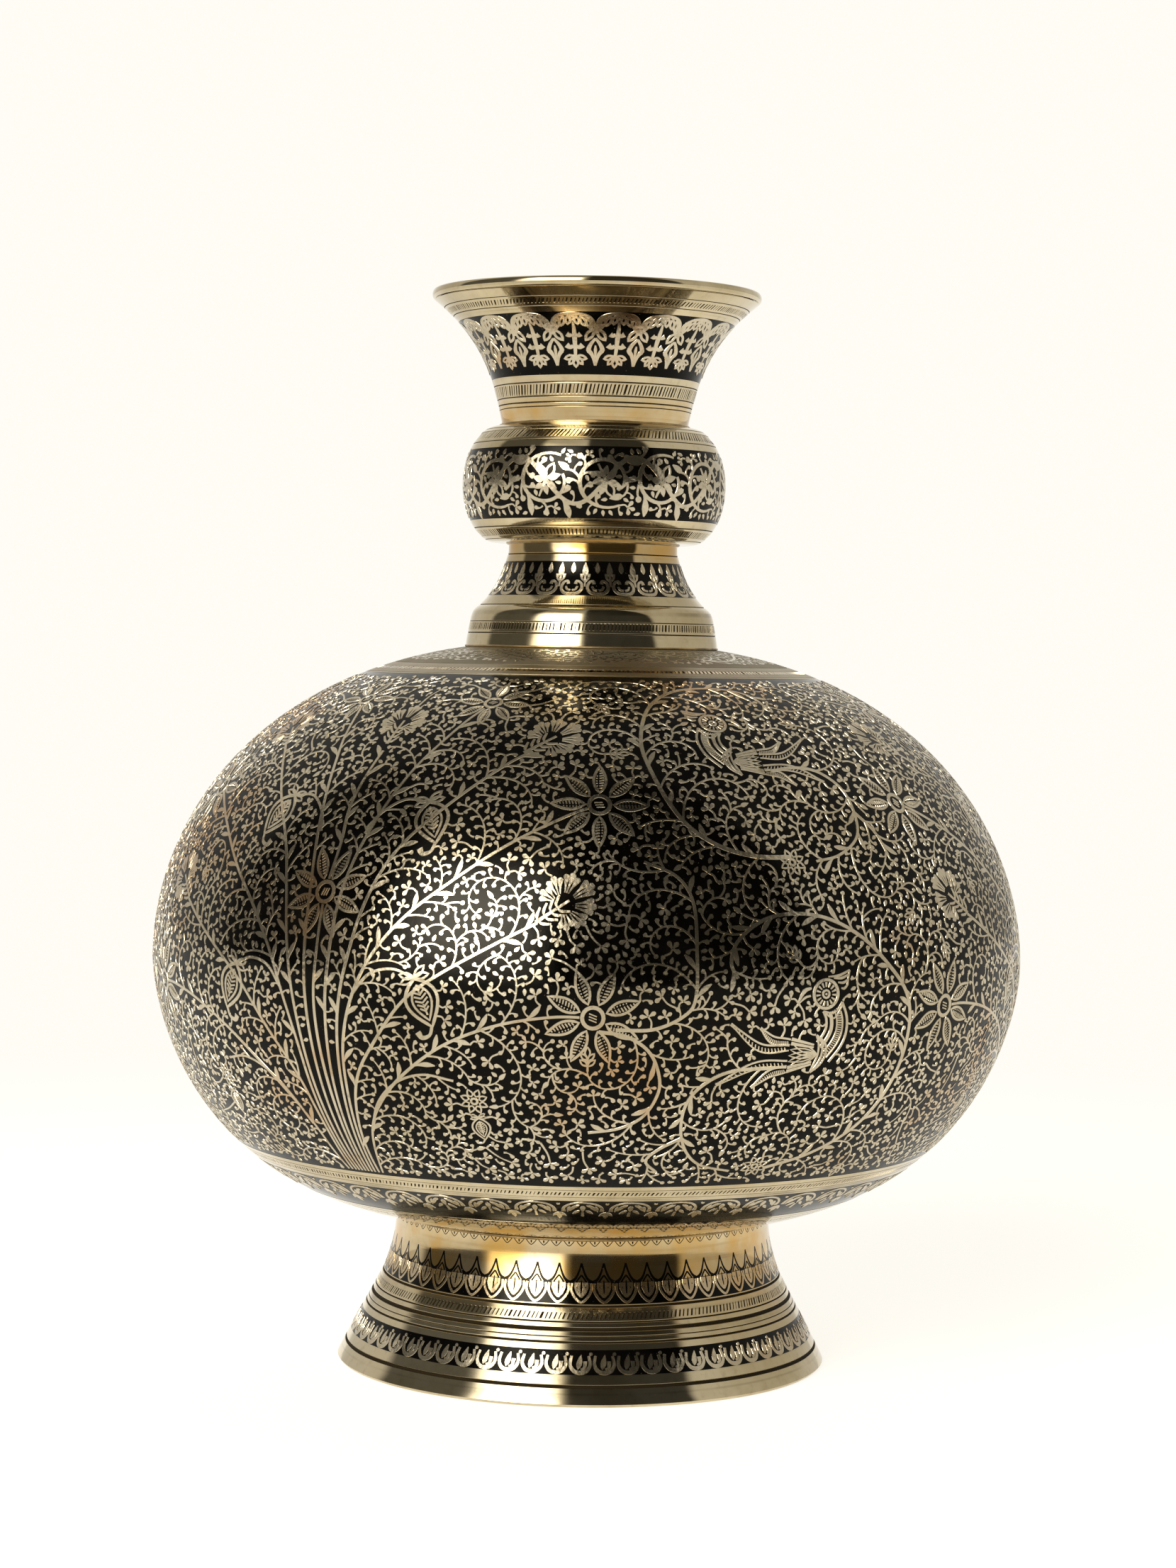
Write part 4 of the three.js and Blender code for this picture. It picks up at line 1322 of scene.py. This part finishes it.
def make_collar_and_knop():
    rows, dark = cut_rows(COLLAR, 204.2, 237.4, COLLAR_CUTS + hatch_cuts(COLLAR), (BANDS["collar_petals"],))
    shell("collar_shell", rows, dark, np.vstack([
        [(22.1, 237.4)], back_wall(COLLAR, THROAT_Z, 213, NECK_THICKNESS), [(33.3, 211.2), (33.3, 204.45)]]),
        replaces=("neck_collar",), heat="collar")

    low, high = BANDS["knop_vine"]
    rows, dark = cut_rows(KNOP, 233.62, KNOP_WAIST_Z, KNOP_LOW_CUTS + hatch_cuts(KNOP)[1:],
                          ((low, KNOP_WAIST_Z + 0.1),), 0.6)
    shell("knop_lower_shell", rows, dark, np.vstack([
        back_wall(KNOP, KNOP_WAIST_Z, 237, WALL_THICKNESS, 2), [(24.4, 235.9), (24.4, 233.55)]]),
        replaces=("knop_lower_cup",))
    rows, dark = cut_rows(KNOP, KNOP_WAIST_Z + 0.05, 266.38, KNOP_TOP_CUTS + hatch_cuts(KNOP)[:1],
                          ((KNOP_WAIST_Z + 0.02, high),), 0.6)
    shell("knop_upper_shell", rows, dark, np.vstack([
        [(27, 266.45), (27, 264.05)], back_wall(KNOP, 263, 250.2, WALL_THICKNESS, 2)]),
        replaces=("knop_upper_cup",))


def make_mouth():
    rows, dark = cut_rows(MOUTH, MOUTH_THROAT_Z, MOUTH_EDGE_Z, MOUTH_CUTS + hatch_cuts(MOUTH),
                          (BANDS["mouth_arcade"],))
    lip = float(mouth_radius(MOUTH_EDGE_Z)) - NECK_THICKNESS
    rim_z = MOUTH_EDGE_Z + 0.3
    rest = np.vstack([
        [(lip + 0.8, rim_z), (lip + 0.8, HEIGHT - 0.5), (lip, HEIGHT - 0.5)],
        back_wall(MOUTH, 301, MOUTH_THROAT_Z, NECK_THICKNESS, 1.5), [(MOUTH_THROAT_RADIUS - 2, 262)]])
    shell("mouth_shell", np.vstack([[(MOUTH_THROAT_RADIUS, 262)], rows]), np.concatenate([[0], dark]), rest,
          replaces=("mouth_funnel",), heat="mouth")

    half = (HEIGHT - rim_z) / 2
    turn = np.radians(np.linspace(-90, 90, 15))
    bulge = half * 0.62
    bead = np.stack([RIM_RADIUS - bulge + bulge * np.cos(turn), HEIGHT - half + half * np.sin(turn)], 1)
    shell("rim_bead", bead, np.zeros(len(bead)), [(lip + 1.1, HEIGHT), (lip + 1.1, 302.7)],
          replaces=("mouth_rim_ring",))


def lacquer_skin(name, wall, band, replaces):
    """The black fill of one recess, from edge to edge."""
    low, high = wall.reach(band[0]) + 0.03, wall.reach(band[1]) - 0.03
    count = max(8, int((high - low) / 1.7))
    along = np.linspace(low, high, count)
    rows = np.vstack([wall.section(along, -LACQUER_SINK),
                      wall.section(along[::-1], -LACQUER_SINK - LACQUER_THICKNESS)])
    return lathe(name, rows, LACQUER, (replaces,))


def make_lacquer():
    for name, wall, band, node in (
            ("foot_petal_inlay", FOOT, "foot_petals", "foot_petal_lacquer"),
            ("foot_leaf_inlay", FOOT, "foot_leaves", "foot_leaf_lacquer"),
            ("lotus_inlay", BODY, "lotus", "lotus_band_lacquer"),
            ("field_inlay", BODY, "field", "body_field_lacquer"),
            ("collar_inlay", COLLAR, "collar_petals", "collar_petal_lacquer"),
            ("knop_inlay", KNOP, "knop_vine", "knop_vine_lacquer"),
            ("mouth_inlay", MOUTH, "mouth_arcade", "mouth_arcade_lacquer")):
        lacquer_skin(name, wall, BANDS[band], node)


def solder_seam(name, node, radius, z, bead):
    """A soft bead run along a joint, a little uneven."""
    turn = np.radians(np.arange(0, 360, 30))
    rows = np.stack([radius + bead * np.cos(turn), z + bead * np.sin(turn)], 1)

    def uneven(r, height, azimuth):
        waves = ((0.5, 7, 1.0), (0.3, 17, 2.0), (0.2, 41, 0.4))
        ripple = sum(size * np.sin(count * azimuth + start) for size, count, start in waves)
        return radius + (r - radius) * (1 + 0.22 * ripple), z + (height - z) * (1 + 0.18 * ripple)

    return lathe(name, rows, SOLDER, (node,), wobble=uneven)


def make_seams():
    solder_seam("foot_joint_seam", "foot_joint_solder", 53.6, FOOT_TOP + 0.05, 0.42)
    solder_seam("collar_joint_seam", "collar_joint_solder", 35.9, 204.0, 0.32)
    solder_seam("knop_base_seam", "knop_base_solder", 24.4, 233.5, 0.4)
    solder_seam("knop_top_seam", "knop_top_solder", 26.9, 266.75, 0.42)
    for node in ("belly_joint_solder", "knop_waist_solder"):
        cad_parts[node].data.materials.clear()
        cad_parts[node].data.materials.append(SOLDER)


# ---- ornament --------------------------------------------------------------------------------


def make_ornament():
    """Every relief, in an order that the seeded random draws depend on."""
    for name, (wall, low, high, pitch, slant) in HATCHES.items():
        hatch(wall, low, high, pitch, slant).build(name, TURNED, "turned_brass")
    mouth_arcade().build("mouth_arcade_relief", ENGRAVED)
    lotus_band().build("lotus_relief", ENGRAVED)
    collar_petals().build("collar_petal_relief", ENGRAVED, heat="collar")
    foot_petals().build("foot_petal_relief", ENGRAVED)
    buds, lines = foot_leaves()
    buds.build("foot_bud_relief", ENGRAVED, heat="foot")
    lines.build("foot_bud_lines", LACQUER, "black_lacquer")
    foot_fringe().build("foot_fringe_lines", LACQUER, "black_lacquer")
    scroll, turns = shoulder_scroll()
    # the scroll's tops darkened a little, partly as wear and partly as painted shade
    scroll.build("shoulder_scroll_relief", ENGRAVED, turns=turns, top_wear_and_shade=0.25)
    vine, turns = knop_vine()
    vine.build("knop_vine_relief", ENGRAVED, turns=turns)
    field, flowers = body_field()
    strokes = field.strokes
    for k in range(3):
        for name, part in (("body_flowers", strokes[:flowers]), ("body_tendrils", strokes[flowers:])):
            field.strokes = part
            field.build(f"{name}_{k + 1}", ENGRAVED, turns=(BUSH_AXIS + SECTOR * k,))


# ---- floor, light and camera -----------------------------------------------------------------


CREAM = (1.0, 0.975, 0.91, 1)


def make_floor():
    """A pale matt floor with a little light of its own, which turns into the backdrop further out."""
    bpy.ops.mesh.primitive_circle_add(vertices=96, radius=14.0, fill_type="NGON")
    floor = bpy.context.object
    floor.name = "studio_floor"
    material, graph, shader, place = new_material("studio_floor")
    distance = graph.node("ShaderNodeVectorMath", operation="LENGTH")
    graph.feed(distance.inputs[0], place)
    far = graph.spread(distance.outputs["Value"], 0.25, 0.75)
    shader.inputs["Base Color"].default_value = (0.30, 0.293, 0.28, 1)
    shader.inputs["Roughness"].default_value = 1.0
    shader.inputs["Specular IOR Level"].default_value = 0.0
    shader.inputs["Emission Color"].default_value = CREAM
    shader.inputs["Emission Strength"].default_value = 0.86
    glow = graph.node("ShaderNodeEmission")
    glow.inputs["Color"].default_value = CREAM
    glow.inputs["Strength"].default_value = 1.0
    blend = graph.node("ShaderNodeMixShader")
    graph.feed(blend.inputs[0], far)
    graph.feed(blend.inputs[1], shader.outputs[0])
    graph.feed(blend.inputs[2], glow.outputs[0])
    graph.feed(material.node_tree.nodes["Material Output"].inputs["Surface"], blend.outputs[0])
    floor.data.materials.append(material)


# Parts of the room by azimuth and elevation: low, high, bottom, top, softness of the sides and of the ends
ROOM = {
    "front_flag": (-8, 61, -16, 78, 3, 5),
    "left_flag": (-110, -60, -14, 60, 4, 8),
    "softbox": (-57, -11, -2, 45, 3, 6),
}
SOFTBOX_MIDDLE = (-31.0, 24.0)


def room_level(graph):
    """How bright the room is in each direction."""
    parts = graph.node("ShaderNodeSeparateXYZ")
    graph.feed(parts.inputs[0], graph.node("ShaderNodeTexCoord").outputs["Generated"])
    x, y, z = parts.outputs
    azimuth = graph.math("DEGREES", graph.math("ARCTAN2", x, graph.times(y, -1.0)))
    elevation = graph.math("DEGREES", graph.math("ARCSINE", z))

    def patch(name):
        low, high, bottom, top, soft_side, soft_end = ROOM[name]
        return graph.times(graph.window(azimuth, low, high, soft_side),
                           graph.window(elevation, bottom, top, soft_end))

    behind = graph.spread(graph.math("ABSOLUTE", azimuth), 145, 175)
    level = graph.math("ADD", 0.70, graph.times(behind, 0.3))
    level = graph.times(level, graph.spread(elevation, 50, 75, 1.0, 0.4))
    for name, darkness in (("front_flag", 0.925), ("left_flag", 0.8)):
        level = graph.times(level, graph.math("SUBTRACT", 1.0, graph.times(patch(name), darkness)))
    # the softbox has sharp sides, and is brightest in its middle
    aside = graph.math("ABSOLUTE", graph.math("SUBTRACT", azimuth, SOFTBOX_MIDDLE[0]))
    above = graph.math("ABSOLUTE", graph.math("SUBTRACT", elevation, SOFTBOX_MIDDLE[1]))
    peak = graph.times(graph.spread(aside, 5, 25, 1.0, 0.0), graph.spread(above, 4, 26, 1.0, 0.0))
    strength = graph.math("ADD", 1.7, graph.times(peak, 15.0))
    return graph.math("ADD", level, graph.times(patch("softbox"), strength))


def make_light():
    """A cream room with one softbox to the left, dark flags in front and at the left, and a dim ceiling."""
    world = bpy.data.worlds.new("studio")
    bpy.context.scene.world = world
    world.use_nodes = True
    graph = Graph(world.node_tree)
    background = world.node_tree.nodes["Background"]
    background.inputs["Color"].default_value = (1.0, 0.965, 0.89, 1)
    graph.feed(background.inputs["Strength"], room_level(graph))
    plain = graph.node("ShaderNodeBackground")
    plain.inputs["Color"].default_value = CREAM
    choose = graph.node("ShaderNodeMixShader")
    graph.feed(choose.inputs[0], graph.node("ShaderNodeLightPath").outputs["Is Camera Ray"])
    graph.feed(choose.inputs[1], background.outputs[0])
    graph.feed(choose.inputs[2], plain.outputs[0])
    graph.feed(world.node_tree.nodes["World Output"].inputs["Surface"], choose.outputs[0])


SENSOR = 36.0
LENS_SHARE = 4800 / 2212  # focal length over the frame's height
CAMERA_PLACE = (-0.001, -0.975, 0.67 * HEIGHT * MM)
CAMERA_TILT = -2.32
CAMERA_ROLL = -0.93


def make_camera():
    """Near eye level with the shoulder, looking a touch down."""
    camera = bpy.data.cameras.new("camera")
    camera.sensor_fit = "VERTICAL"
    camera.sensor_height = SENSOR
    camera.lens = SENSOR * LENS_SHARE
    holder = bpy.data.objects.new("camera", camera)
    bpy.context.scene.collection.objects.link(holder)
    holder.location = CAMERA_PLACE
    holder.rotation_euler = Euler((math.radians(90 + CAMERA_TILT), math.radians(CAMERA_ROLL), 0), "XYZ")
    bpy.context.scene.camera = holder


make_camera()
make_light()
make_floor()
make_foot()
make_bowl()
make_dome()
make_collar_and_knop()
make_mouth()
make_lacquer()
make_seams()
make_ornament()
bpy.context.scene.view_settings.view_transform = "Standard"
